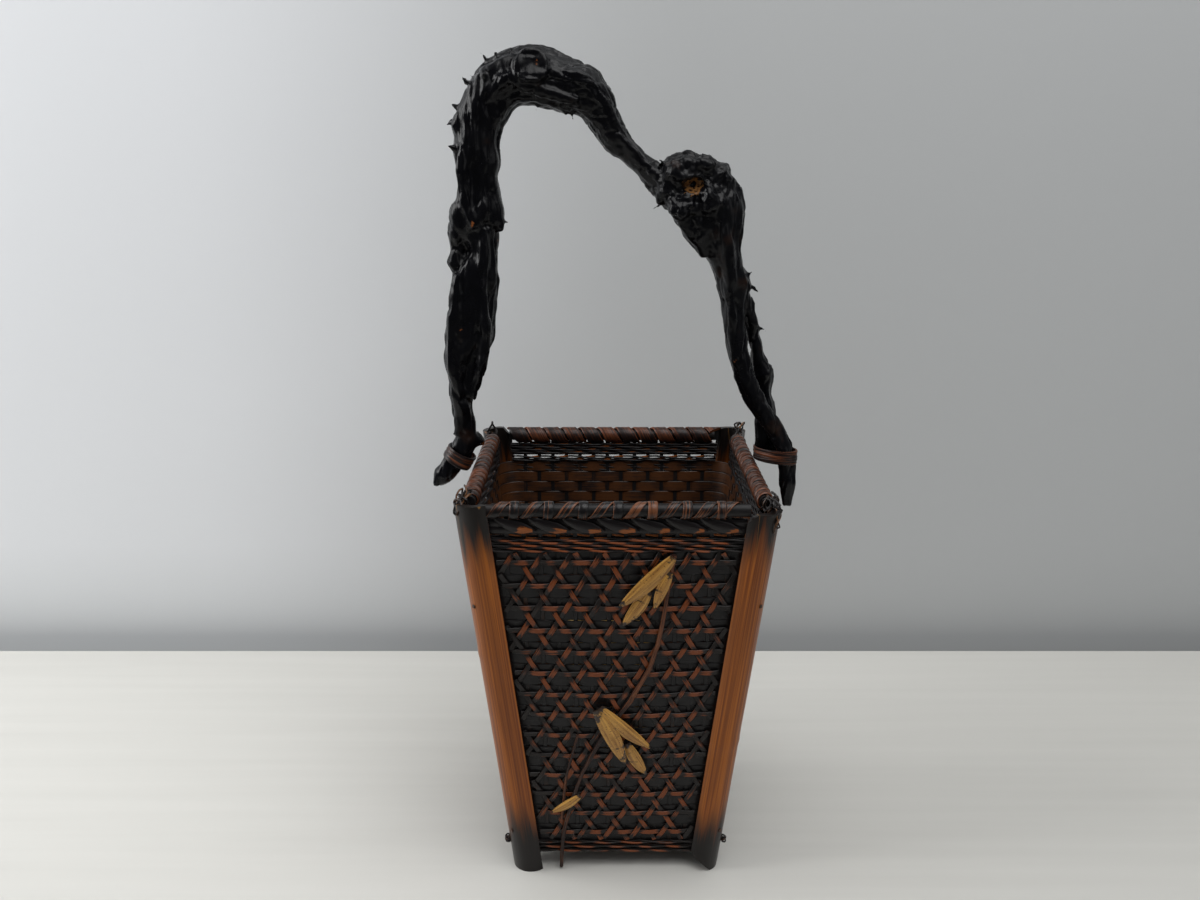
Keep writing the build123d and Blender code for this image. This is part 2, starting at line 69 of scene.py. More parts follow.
def add_node(tree, kind, sockets=None, **settings):
    """Adds one node with its settings; each input socket gets a value or the output it links to."""
    made = tree.nodes.new("ShaderNode" + kind)
    for name, value in settings.items():
        setattr(made, name, value)
    for key, value in (sockets or {}).items():
        if isinstance(value, bpy.types.NodeSocket):
            tree.links.new(value, made.inputs[key])
        else:
            made.inputs[key].default_value = value
    return made


def start_material(name, roughness):
    """A new material with its node tree and its principled shader."""
    made = bpy.data.materials.new(name)
    made.use_nodes = True
    shader = made.node_tree.nodes["Principled BSDF"]
    shader.inputs["Roughness"].default_value = roughness
    return made, made.node_tree, shader


def noise_node(tree, place, scale, detail):
    """Noise over a place; a scale with three parts stretches it along the grain."""
    if isinstance(scale, tuple):
        place = add_node(tree, "Mapping", {"Vector": place, "Scale": scale}).outputs[0]
        scale = 1.0
    return add_node(tree, "TexNoise", {"Vector": place, "Scale": scale, "Detail": detail}).outputs[0]


def share_of(tree, value, low, high, first=0.0, last=1.0, smooth=False):
    """How far a value lies from low to high, as a share that runs from first to last."""
    sockets = {0: value, 1: low, 2: high, 3: first, 4: last}
    kind = "SMOOTHSTEP" if smooth else "LINEAR"
    return add_node(tree, "MapRange", sockets, interpolation_type=kind).outputs[0]


def sum_of(tree, operation, one, other):
    """One sum of two values."""
    return add_node(tree, "Math", {0: one, 1: other}, operation=operation).outputs[0]


def mix_of(tree, share, first, second):
    """A colour a share of the way between two, each a hex code or another node's output."""
    ends = [hex_colour(end) if isinstance(end, str) else end for end in (first, second)]
    return add_node(tree, "Mix", {0: share, 6: ends[0], 7: ends[1]}, data_type="RGBA").outputs[2]


def dress(tree, shader, colour, height, strength, depth):
    """Links a colour and a relief, with its depth in metres, to the shader."""
    relief = add_node(tree, "Bump", {"Height": height, "Strength": strength, "Distance": depth})
    tree.links.new(colour, shader.inputs["Base Color"])
    tree.links.new(relief.outputs[0], shader.inputs["Normal"])


def add_object(name, data):
    """A new object in the scene."""
    made = bpy.data.objects.new(name, data)
    bpy.context.scene.collection.objects.link(made)
    return made


def value_at(values, number):
    """One value of a list, or the value itself where it is the same all along."""
    return values[number] if isinstance(values, list) else values


class Skin:
    """The points and faces of one piece, gathered strand by strand, with fibre coordinates in mm."""

    def __init__(self):
        self.points, self.faces, self.fibre, self.wear_and_shade = [], [], [], []

    def add_strand(self, rings, wear_and_shade_values=0.5, closed=False):
        """Lays a skin over rings of points, in mm; the fibre runs from ring to ring."""
        first = len(self.points)
        sides = len(rings[0])
        offset = vary(0, 900)
        along, place = [0.0], 0.0
        for before, after in zip(rings, rings[1:] + rings[:1]):
            place += (after[0] - before[0]).length
            along.append(place)
        around = [0.0]
        for number in range(sides):
            around.append(around[-1] + (rings[0][(number + 1) % sides] - rings[0][number]).length)
        for number, ring in enumerate(rings):
            self.points += [point * mm for point in ring]
            self.wear_and_shade += [value_at(wear_and_shade_values, number)] * sides
        for number in range(len(rings) if closed else len(rings) - 1):
            low, high = first + number * sides, first + (number + 1) % len(rings) * sides
            for side in range(sides):
                after = (side + 1) % sides
                self.faces.append((low + side, low + after, high + after, high + side))
                u, v = along[number], along[number + 1]
                a, b = around[side] + offset, around[side + 1] + offset
                self.fibre += [(u, a), (u, b), (v, b), (v, a)]
        if not closed:
            for ring_first, order in ((first, -1), (first + (len(rings) - 1) * sides, 1)):
                self.faces.append(tuple(range(ring_first, ring_first + sides))[::order])
                self.fibre += [(offset, offset)] * sides

    def make_piece(self, name, material, slot, replaced, sharp=50):
        """Turns the skin into an object that rides on the basket and stands for CAD nodes."""
        mesh = bpy.data.meshes.new(name)
        mesh.from_pydata(self.points, [], self.faces)
        layer = mesh.uv_layers.new(name="fibre")
        layer.data.foreach_set("uv", [value for pair in self.fibre for value in pair])
        wear_and_shade = mesh.attributes.new("wear_and_shade", "FLOAT", "POINT")
        wear_and_shade.data.foreach_set("value", self.wear_and_shade)
        mesh.shade_smooth()
        mesh.set_sharp_from_angle(angle=radians(sharp))
        mesh.materials.append(material)
        piece = add_object(name, mesh)
        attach(piece, "basket")
        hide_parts(*replaced)
        return piece


# Smoked bamboo, oiled: orange-brown with long darker fibres under a satin skin, and soot that
# thins out in tongues along the fibres from both ends. A dry split shows pale near a post's top.
smoked, tree, shader = start_material("smoked_bamboo_oiled", 0.34)
fibre = add_node(tree, "UVMap", uv_map="fibre").outputs[0]
place = add_node(tree, "NewGeometry").outputs["Position"]
height = add_node(tree, "SeparateXYZ", {0: place}).outputs[2]
streaks = noise_node(tree, fibre, (0.006, 0.9, 1), 6.0)
fine_streaks = noise_node(tree, fibre, (0.02, 3.2, 1), 3.0)
clouds = noise_node(tree, fibre, (0.012, 0.16, 1), 4.0)
bamboo = mix_of(tree, share_of(tree, streaks, 0.36, 0.66), "6A330C", "A55D18")
streaked = mix_of(tree, share_of(tree, fine_streaks, 0.52, 0.72, last=0.6), bamboo, "48200A")
cloud_shift = sum_of(tree, "MULTIPLY", clouds, 0.055)
streak_shift = sum_of(tree, "MULTIPLY", streaks, 0.035)
shift = sum_of(tree, "ADD", cloud_shift, streak_shift)
top_soot = share_of(tree, sum_of(tree, "ADD", height, shift), 0.254, 0.282, smooth=True)
foot_soot = share_of(tree, sum_of(tree, "SUBTRACT", height, shift), 0.008, -0.024, smooth=True)
sooted = mix_of(tree, sum_of(tree, "MAXIMUM", top_soot, foot_soot), streaked, "140F0D")
split_course = noise_node(tree, place, (75, 75, 0.5), 0.0)
split_edges = share_of(tree, split_course, 0.497, 0.5), share_of(tree, split_course, 0.506, 0.502)
split_whole = sum_of(tree, "MULTIPLY", *split_edges)
split_top = sum_of(tree, "MULTIPLY", split_whole, share_of(tree, height, 0.215, 0.235))
dress(tree, shader, mix_of(tree, split_top, sooted, "8A6232"), streaks, 0.25, 0.0004)
shader.inputs["Specular IOR Level"].default_value = 0.3

for corner, degrees in corner_turns.items():
    top = short_post_top if corner == "front_right" else post_top
    outwards, sideways = Vector((diagonal, -diagonal, 0)), Vector((diagonal, diagonal, 0))
    rings = []
    for step in range(post_steps + 1):
        z = top * step / post_steps
        centre = Vector((corner_half(z), -corner_half(z), z))
        swell = node_ring * exp(-(((z - septum_heights[corner]) / node_spread) ** 2))
        reaches = []
        for number in range(outer_steps + 1):
            angle = pi * (number / outer_steps - 0.5)
            ripple = skin_ripple * noise(Vector((number * 0.45, z / 60, degrees)))
            swollen = swell * min(1, 2 * cos(angle))
            reaches.append((angle, post_radius - skin_ripple + swollen + ripple))
        for number in range(inner_steps + 1):
            reaches.append((pi * (0.5 - number / inner_steps), post_radius - post_wall))
        rings.append([
            centre + outwards * (reach * cos(angle)) + sideways * (reach * sin(angle))
            for angle, reach in reaches
        ])
    post = Skin()
    post.add_strand(rings)
    piece = post.make_piece(f"split_culm_{corner}", smoked, "smoked_bamboo", [f"post_{corner}"], 40)
    shape = bmesh.new()
    shape.from_mesh(piece.data)
    top_half = corner_half(top)
    tip = Vector((top_half - post_radius * diagonal, -top_half, top)) * mm
    cuts = [(tip + Vector((post_chamfer * mm, 0, 0)), Vector((-1, 0, 1)))]
    if corner == "front_right":
        inner = corner_half_at_foot - post_radius * diagonal
        slant = Vector((-foot_cut_rise, 0, -foot_cut_width))
        cuts.append((Vector((inner + foot_cut_width, 0, 0)) * mm, slant))
    for place_of_cut, direction in cuts:
        everything = shape.verts[:] + shape.edges[:] + shape.faces[:]
        cut = bmesh.ops.bisect_plane(
            shape, geom=everything, plane_co=place_of_cut, plane_no=direction, clear_outer=True
        )
        edges = [part for part in cut["geom_cut"] if isinstance(part, bmesh.types.BMEdge)]
        bmesh.ops.contextual_create(shape, geom=edges)
    shape.to_mesh(piece.data)
    shape.free()
    piece.data.set_sharp_from_angle(angle=radians(40))
    piece.data.transform(Matrix.Rotation(radians(degrees), 4, "Z"))


# Lining: upright stakes and level wefts of dyed bamboo in plain weave, each weft one band that runs
# round all four walls and the rounded corners. Black outside, brown where the dye is thin inside.
corner_radius = 14.0
lining_foot, lining_top = 10.6, 219.0
weft_rows, weft_step, weft_corner_steps = 29, 1.6, 9
strip_thickness = 0.55
stake_pitch, stake_width, stake_count, stake_steps = 9.5, 2.5, 14, 40
lining_depth, lining_wave = 0.85, 0.52
wall_bulge = 2.4
seat_gap = 0.05
rim_roll_height = 244.3
side_turns = {"front": 0, "right": 90, "back": 180, "left": 270}


def turned(degrees, axis="Z"):
    """A turn about an axis."""
    return Matrix.Rotation(radians(degrees), 3, axis)


def flat_half(z):
    """Half the width of a wall's flat stretch at a height."""
    return corner_half(z) + corner_radius * (1 - diagonal) - seat_gap - corner_radius


def wall_point(side, x, z, out=0.0):
    """A point on a wall, out from the lining's face, where the wall bellies a little."""
    across = min(1, abs(x) / flat_half(z))
    rise = min(1, max(0, (z - lining_foot) / (lining_top - lining_foot)))
    out += wall_bulge * (1 - across**2) * sin(pi * rise)
    point = Vector((x, -(flat_half(z) + corner_radius + out * cos(tilt)), z - out * sin(tilt)))
    return turned(side_turns[side]) @ point


def wall_way_out(side):
    """The direction square to a wall, outwards."""
    return turned(side_turns[side]) @ Vector((0, -cos(tilt), -sin(tilt)))


def spread(half, steps):
    """Places from one edge to the other."""
    return [-half + 2 * half * step / steps for step in range(steps + 1)]


def strip_rings(points, ways_out, widths, thickness, crown=0.0, closed=False):
    """Flat strip sections along a course, each with softened edges and a face towards its way out."""
    rings = []
    outline = (
        (-0.5, 0), (-0.43, 0.5), (0, 0.5 + crown), (0.43, 0.5),
        (0.5, 0), (0.43, -0.5), (0, -0.5), (-0.43, -0.5),
    )
    for number, point in enumerate(points):
        if closed:
            before, after = points[number - 1], points[(number + 1) % len(points)]
        else:
            before, after = points[max(number - 1, 0)], points[min(number + 1, len(points) - 1)]
        across = (after - before).cross(value_at(ways_out, number)).normalized()
        out = across.cross(after - before).normalized()
        width = value_at(widths, number)
        rings.append([point + across * (a * width) + out * (b * thickness) for a, b in outline])
    return rings


def strip_material(name, dark, bright, roughness, wear_and_shade_low, wear_and_shade_high, fleck=0.5):
    """Dyed bamboo strip: dark dye in the hollows, the wood's own colour where it is worn; on the
    over-weave and the twining, the dark in the hollows and near the posts is also painted shade.
    """
    made, tree, shader = start_material(name, roughness)
    fibre = add_node(tree, "UVMap", uv_map="fibre").outputs[0]
    streaks = noise_node(tree, fibre, (0.035, 1.6, 1), 5.0)
    clouds = noise_node(tree, fibre, (0.05, 0.06, 1), 4.0)
    wear_and_shade = add_node(tree, "Attribute", attribute_name="wear_and_shade").outputs["Fac"]
    cloud_part = share_of(tree, clouds, 0.3, 0.7, -0.5, 0.5)
    streak_part = share_of(tree, streaks, 0.3, 0.7, -fleck, fleck)
    # Each point's value is real wear, and on some pieces painted shade as well.
    wear_and_shade_level = sum_of(tree, "ADD", sum_of(tree, "ADD", wear_and_shade, cloud_part), streak_part)
    wear_and_shade_share = share_of(tree, wear_and_shade_level, wear_and_shade_low, wear_and_shade_high, smooth=True)
    dress(tree, shader, mix_of(tree, wear_and_shade_share, dark, bright), streaks, 0.5, 0.0003)
    shader.inputs["Specular IOR Level"].default_value = 0.28
    return made


# Bamboo lath dyed black with iron and tannin: soft sheen, faint fibres, brown on the inner faces.
black_lath = strip_material("black_dyed_bamboo_lath", "151314", "4A2B15", 0.42, 0.3, 1.25, 0.3)

wefts = Skin()
row_pitch = (lining_top - lining_foot) / weft_rows
for row in range(weft_rows + 1):
    z = lining_foot + (row + 0.5) * row_pitch + vary(-0.12, 0.12)
    points, ways = [], []
    parity = 1 if row % 2 else -1
    strength = lining_wave * min(1, row / 2)
    half, reach = flat_half(z), corner_radius - lining_depth
    steps = int(2 * half / weft_step)
    for side, degrees in side_turns.items():
        for x in spread(half, steps)[:-1]:
            fade = min(1, (half - abs(x)) / 6)
            wave = parity * strength * fade * sin(pi * x / stake_pitch)
            points.append(wall_point(side, x, z, wave - lining_depth))
            ways.append(wall_way_out(side))
        for step in range(weft_corner_steps):
            angle = radians(90 * step / weft_corner_steps)
            point = Vector((half + reach * sin(angle), -half - reach * cos(angle), z))
            points.append(turned(degrees) @ point)
            ways.append(turned(degrees) @ Vector((sin(angle), -cos(angle), -lean)))
    width = row_pitch + 0.3 + vary(-0.25, 0.1)
    rings = strip_rings(points, ways, width, strip_thickness, closed=True)
    first = len(wefts.points)
    wefts.add_strand(rings, closed=True)
    for number in range(len(rings)):
        wefts.wear_and_shade[first + number * 8 : first + number * 8 + 8] = [0.0] * 5 + [0.95] * 3
wefts.make_piece(
    "lining_wefts", black_lath, "dark_strip", [f"lining_corner_{corner}" for corner in corner_turns], 25
)

stake_bend, stake_bend_height, stake_bend_length = 0.55, 226, 12
for side in side_turns:
    stakes = Skin()
    for number in range(stake_count):
        x = (number - (stake_count - 1) / 2) * stake_pitch
        edge = abs(x) + stake_width / 2
        low = max(lining_foot, (edge - flat_half(0)) / lean)
        high = rim_roll_height + 2
        if flat_half(high) < edge:
            continue
        points = []
        for step in range(stake_steps + 1):
            z = low + (high - low) * step / stake_steps
            ease = min(1, max(0, (z - stake_bend_height) / stake_bend_length))
            sway = 0.25 * noise(Vector((x, z / 40, 0)))
            points.append(wall_point(side, x + sway, z, stake_bend * ease - lining_depth))
        rings = strip_rings(points, wall_way_out(side), stake_width, 0.5)
        stakes.add_strand(rings, 0.25)
    stakes.make_piece(f"lining_stakes_{side}", black_lath, "dark_strip", [f"lining_{side}"])


# Over-weave: fine split bamboo in three directions (level, rising, falling), each strip passing over
# one direction and under the other. Dyed red-brown, with painted shade where a strip dives under its
# neighbour and near the posts.
weave_foot, weave_top = 20.6, 219.6
weave_row = 14.35
weave_strip, weave_strip_thickness = 2.9, 0.45
strip_wave, strip_depth = 0.42, 0.95
lowest_crossing, highest_crossing = 21.4, 219.0
post_clearance = 0.8
ticks, ticks_per_wave, strips_each_way = 160, 12, 14
red_strip = strip_material("red_brown_bamboo_strip", "17110F", "733A1A", 0.36, 0.5, 0.92, 0.3)


def weave_half(z):
    """Half the width that the over-weave has between the posts."""
    return corner_half(z) - post_radius * diagonal - post_clearance


def strip_ways(degrees):
    """A direction of the over-weave and the direction square to it, on the wall."""
    angle = radians(degrees)
    return Vector((cos(angle), sin(angle))), Vector((-sin(angle), cos(angle)))


directions = {"rising": (60, "level"), "level": (0, "falling"), "falling": (-60, "rising")}
weave_middle = (lowest_crossing / cos(tilt) + highest_crossing / cos(tilt)) / 2
for side in side_turns:
    for name, (degrees, goes_over) in directions.items():
        along, square = strip_ways(degrees)
        over_square = strip_ways(directions[goes_over][0])[1]
        over_offset = weave_row / 2 if goes_over == "level" else 0
        weave = Skin()
        for number in range(-strips_each_way, strips_each_way + 1):
            offset = (number + 0.5) * weave_row if name == "level" else number * weave_row
            start = Vector((0, weave_middle)) + square * offset
            gap = over_square.dot(start - Vector((0, weave_middle))) - over_offset
            crossing = -gap / over_square.dot(along)
            period = weave_row / abs(over_square.dot(along))
            drift = vary(-0.35, 0.35)
            ends = [vary(-0.6, 0.6), vary(-0.6, 0.6)]
            points, wear_and_shade_values = [], []
            step = period / ticks_per_wave
            for tick in range(-ticks, ticks + 1):
                place_along = tick * step
                spot = start + along * place_along + square * drift
                z = spot.y * cos(tilt)
                if not weave_foot < z < weave_top or abs(spot.x) > weave_half(z) + ends[tick > 0]:
                    continue
                wave = cos(2 * pi * (place_along - crossing) / period)
                wobble = 0.2 * noise(Vector((spot.x / 25, spot.y / 25, number)))
                points.append(wall_point(side, spot.x + wobble, z, strip_depth + strip_wave * wave))
                # Painted shade: each strip is darkened where its wave dives under a neighbour and within
                # 15 mm of the posts.
                post_shade_fade = min(1, (weave_half(z) + 2 - abs(spot.x)) / 15)
                wear_and_shade_values.append((0.5 + 0.5 * wave) * post_shade_fade)
            if len(points) > 8:
                width = weave_strip + vary(-0.25, 0.2)
                rings = strip_rings(points, wall_way_out(side), width, weave_strip_thickness)
                weave.add_strand(rings, wear_and_shade_values)
        weave.make_piece(
            f"hexagon_weave_{name}_{side}", red_strip, "red_brown_strip", [f"hex_{name}_{side}"], 28
        )


# Twined bands: pairs of round split cane twisted about the stakes, five rows above the over-weave
# and three at its foot. The crests are rubbed down to orange; the near-black hollows and the darker row
# ends by the posts are painted shade.
twine_thickness, twine_span, twine_swing = 1.25, 38.0, 0.95
top_rows, top_band_height, top_row_pitch = 5, 220.0, 1.66
foot_rows, foot_band_height, foot_row_pitch = 3, 12.8, 3.2
twine_cane = strip_material("twined_bamboo_rubbed", "151010", "85431C", 0.34, 0.6, 1.0, 0.25)


def round_rings(points, thicknesses, sides=8):
    """Round sections along a course."""
    rings = []
    normal = None
    for number, point in enumerate(points):
        before, after = points[max(number - 1, 0)], points[min(number + 1, len(points) - 1)]
        way = (after - before).normalized()
        if normal is None:
            normal = way.orthogonal().normalized()
        normal = (normal - way * normal.dot(way)).normalized()
        other = way.cross(normal)
        radius = value_at(thicknesses, number) / 2
        ring = []
        for side in range(sides):
            angle = 2 * pi * side / sides
            ring.append(point + (normal * cos(angle) + other * sin(angle)) * radius)
        rings.append(ring)
    return rings


def twined_row(skin, side, z, shift, depth, lift):
    """One level row of two canes that twist about the stakes."""
    half = weave_half(z) + 1.6
    steps = int(2 * half / 1.3)
    for strand in (0, 1):
        points, wear_and_shade_values = [], []
        for x in spread(half, steps):
            turn = 2 * pi * (x + shift) / twine_span + pi * strand
            out = depth + twine_swing * sin(turn)
            rise = lift * cos(turn) + 0.12 * noise(Vector((x / 9, z, strand)))
            points.append(wall_point(side, x, z + rise, out))
            # Painted shade: the cane darkens where it turns behind, and within 13 mm of the row's ends
            # by the posts.
            wear_and_shade_values.append(max(0, sin(turn)) * min(1, (half - abs(x)) / 13))
        skin.add_strand(round_rings(points, twine_thickness + vary(-0.15, 0.1)), wear_and_shade_values)


for side in side_turns:
    band = Skin()
    for row in range(top_rows):
        shift = stake_pitch * (row % 2) + vary(-2, 2)
        twined_row(band, side, top_band_height + row * top_row_pitch, shift, 0.25, 0.45)
    band.make_piece(f"twined_band_top_{side}", twine_cane, "twined_strip", [f"top_twining_{side}"])
    band = Skin()
    for row in range(foot_rows):
        shift = stake_pitch * row + vary(-2, 2)
        twined_row(band, side, foot_band_height + row * foot_row_pitch, shift, 0.75, 0.5)
    band.make_piece(f"twined_band_foot_{side}", red_strip, "twined_strip", [f"foot_twining_{side}"])


# Folded stake ends: each second stake is bent down to the right below the rim and its point is
# tucked behind the next, so that a row of dark leaf shapes with rubbed orange bellies shows.
fold_count, fold_pitch, fold_start = 7, 19.0, 1.5
fold_length, fold_width, fold_top, fold_drop = 23.0, 6.6, 240.2, 7.8
rubbed_from, rubbed_to, taper_from, fold_steps = 0.42, 0.9, 0.68, 18
backing_strips = ((232.6, 4.4), (236.7, 4.2))
inner_rows, inner_row_foot, inner_row_pitch = 6, 227.0, 1.9
folded_stake = strip_material("folded_stake_rubbed", "141011", "92501F", 0.34, 0.62, 0.85, 0.22)
for side in side_turns:
    folds = Skin()
    half = weave_half(234.5) + 1.2
    for strip_height, strip_width in backing_strips:
        points = [wall_point(side, x, strip_height, 0.2) for x in spread(half, 30)]
        folds.add_strand(strip_rings(points, wall_way_out(side), strip_width, 0.4), 0.0)
    for row in range(inner_rows):
        z = inner_row_foot + row * inner_row_pitch + (row > 1) * 1.5
        twined_row(folds, side, z, stake_pitch * (row % 2), -1.9, 0.85 if row == 1 else 0.4)
    for number in range(fold_count):
        start = (number - fold_count / 2) * fold_pitch - fold_start
        points, widths, wear_and_shade_values = [], [], []
        for step in range(fold_steps + 1):
            share = step / fold_steps
            z = fold_top - fold_drop * share**0.75
            out = 0.9 + 0.5 * share + 1.3 * sin(pi * min(1, share * 1.1))
            points.append(wall_point(side, start + fold_length * share, z, out))
            swell = 0.4 + 0.6 * sin(pi * min(0.5, share))
            taper = 0.85 * max(0, share - taper_from) / (1 - taper_from)
            widths.append(fold_width * swell * (1 - taper))
            is_belly = rubbed_from < share < rubbed_to
            wear_and_shade_values.append(1.15 * ((share - rubbed_from) / 0.45) ** 0.7 if is_belly else 0)
        first = len(folds.points)
        folds.add_strand(strip_rings(points, wall_way_out(side), widths, 0.7, 0.35), wear_and_shade_values)
        for ring in range(fold_steps + 1):
            for corner, part in enumerate((0.3, 0.35, 0.85, 1.15, 1.15)):
                folds.wear_and_shade[first + 8 * ring + corner] *= part
    folds.make_piece(f"folded_stake_ends_{side}", folded_stake, "twined_strip", [f"folded_ends_{side}"])


# Rim hoops: two half-round bamboo rods on each side, dyed black. They lie face to face with the
# stakes' tops clamped between them, and their ends are tied to the posts.
hoop_radius = 3.6
outer_hoop = (3.15, 0.0, weave_half(rim_roll_height) + 2)
inner_hoop = (-3.05, -0.7, flat_half(rim_roll_height))
black_rod = strip_material("black_dyed_bamboo_rod", "100E0F", "1E1817", 0.5, 0.2, 0.9, 0.3)
for side in side_turns:
    hoops = Skin()
    for reach_out, flat_face, half in (outer_hoop, inner_hoop):
        rings = []
        for x in spread(half, 40):
            ring = []
            for number in range(13):
                angle = pi * (number / 12 - 0.5)
                out = flat_face + reach_out * cos(angle)
                knob = 1 + 0.03 * noise(Vector((x / 7, number, reach_out)))
                z = rim_roll_height + hoop_radius * knob * sin(angle)
                ring.append(wall_point(side, x, z, out))
            rings.append(ring if reach_out > 0 else ring[::-1])
        hoops.add_strand(rings, 0.3)
    hoops.make_piece(f"rim_rods_{side}", black_rod, "rim_bamboo", [f"rim_hoops_{side}"])


# Rim binding: flat rattan wound round the hoops between the stakes. The front shows an upright lap
# and a slanting one at each step, the back a rope of slanting laps, the side rims closer brown laps.
lap_count, lap_pitch, lap_width = 7, 19.0, 5.2
side_laps = {"pitch": 8.6, "width": 6.6, "swing": 7.0, "thickness": 1.3, "short": 6.0}
back_laps = {"pitch": 12.4, "width": 9.6, "swing": 17.0, "thickness": 1.7, "short": 1.0}
cane_flat = strip_material("flat_rattan_dyed_dark", "121011", "694029", 0.3, 0.6, 1.1, 0.75)
cane_brown = strip_material("flat_rattan_dyed_brown", "1A1211", "643822", 0.36, 0.3, 1.1, 0.95)


def wound_cane(skin, side, course, width, reach, thickness=0.7, wear_and_shade_level=0.5):
    """A flat cane along (place across, angle round the rim) steps; angle 0 faces outwards, 90 is up."""
    points, ways = [], []
    way_out = wall_way_out(side)
    for x, degrees, lift in course:
        angle = radians(degrees)
        axis = wall_point(side, x, rim_roll_height, -0.3)
        up = Vector((0, 0, 1)) - way_out * way_out.z
        way = way_out * cos(angle) + up.normalized() * sin(angle)
        points.append(axis + way * (reach + lift))
        ways.append(way)
    first = len(skin.points)
    wear_and_shade = wear_and_shade_level + vary(-0.12, 0.12)
    skin.add_strand(strip_rings(points, ways, width, thickness, 0.2), wear_and_shade)
    for number in range(len(points)):
        for corner in (0, 4):
            skin.wear_and_shade[first + 8 * number + corner] += 0.55


def slanting_lap(start, climb):
    """A lap that moves sideways by its climb as it goes over the rim, from outside to inside."""
    return [(start + climb * min(1, max(0, (a + 70) / 190)), a, 0.0) for a in range(-120, 190, 12)]


binding = {side: Skin() for side in ("front", "back", "left", "right")}
for number in range(lap_count):
    middle = (number - (lap_count - 1) / 2) * lap_pitch
    upright = [(middle + 0.3 * sin(a / 40), a, 0.25) for a in range(-150, 200, 12)]
    wound_cane(binding["front"], "front", upright, lap_width, hoop_radius + 0.85)
    slant = slanting_lap(middle - 14.5, 10.5)
    wound_cane(binding["front"], "front", slant, lap_width, hoop_radius + 0.65, wear_and_shade_level=0.74)
last_lap = slanting_lap(51.5, 13.0)
wound_cane(binding["front"], "front", last_lap, lap_width, hoop_radius + 0.65, wear_and_shade_level=0.74)
for side, laps in (("back", back_laps), ("left", side_laps), ("right", side_laps)):
    half = flat_half(rim_roll_height) - laps["short"]
    count = int(2 * half / laps["pitch"])
    for middle in spread(half, count):
        course = []
        for a in range(-100, 285, 14):
            share = (a + 100) / 385
            x = middle + laps["swing"] * (0.5 - share) + vary(-0.15, 0.15)
            if abs(x) < flat_half(rim_roll_height) + 1.0:
                course.append((x, a, 0.15 + 0.35 * sin(pi * share)))
        if len(course) > 6:
            cane_width = laps["width"] + vary(-0.6, 0.4)
            wound_cane(binding[side], side, course, cane_width, hoop_radius + 0.3, laps["thickness"])
for side, skin in binding.items():
    cane = cane_flat if side == "front" else cane_brown
    skin.make_piece(f"rim_binding_{side}", cane, "dyed_cane", ["rim_binding"])


# Corner lashings: thin dark cane knotted over the ends of the side rims and round the posts' tops,
# left as a tangle of loops with a few light, rubbed strands.
corner_signs = ((-1, -1), (-1, 1), (1, -1), (1, 1))
tangle_across, tangle_away, tangle_height = 85.6, 78.0, 244.5
front_loops, back_loops, loop_steps = 24, 11, 22
knot_cane = strip_material("knotted_dark_cane", "171212", "8A5E3A", 0.4, 0.62, 1.25, 0.5)
tangles = Skin()
for across, away in corner_signs:
    for number in range(front_loops if away < 0 else back_loops):
        centre = Vector((
            across * (tangle_across + vary(-2.4, 2.6)),
            away * (tangle_away + vary(-6.5, 5.0)),
            tangle_height + vary(-8.5, 5.5),
        ))
        spin = Matrix.Rotation(vary(0, pi), 3, "X")
        spin @= Matrix.Rotation(vary(-0.7, 0.7), 3, "Y")
        size = vary(2.6, 5.8)
        points = []
        for step in range(loop_steps):
            angle = 2 * pi * step / 19
            ripple = 1 + 0.25 * noise(Vector((step * 0.35, number, across * away)))
            loop_point = Vector((0.35 * sin(2 * angle), cos(angle), sin(angle)))
            points.append(centre + spin @ (loop_point * (size * ripple)))
        rings = round_rings(points, vary(0.8, 1.5), 7)
        tangles.add_strand(rings, vary(0.05, 0.75))
tangles.make_piece("corner_tangles", knot_cane, "dyed_cane", ["corner_lashings"])


# Floor mat, braces and pins: flat dyed strips crossed in two layers, on two laths let into the
# posts. They keep the CAD's shapes, because nothing but the mat's edge shows in the mouth.
mat_lath, tree, shader = start_material("dyed_bamboo_floor_strip", 0.5)
place = add_node(tree, "TexCoord").outputs["Object"]
grain = noise_node(tree, place, (900, 900, 60), 5.0)
mat_colour = mix_of(tree, share_of(tree, grain, 0.35, 0.7), "2A1A12", "4E2F1B")
dress(tree, shader, mat_colour, grain, 0.4, 0.0003)


def paint_cad(name, material):
    """Gives its material to a CAD node that keeps its own shape."""
    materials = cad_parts[name].data.materials
    materials.clear()
    materials.append(material)


for name in ("floor_mat", "floor_braces", "post_pegs"):
    paint_cad(name, mat_lath)


# Root handle: a forked root, peeled and lacquered black. It rises from the left rim, turns over the
# mouth, swells to a hollow burl and comes down on the right with a side stem grown behind it.
handle_half_span, handle_rise, handle_girth = 100.0, 250.0, 30.0
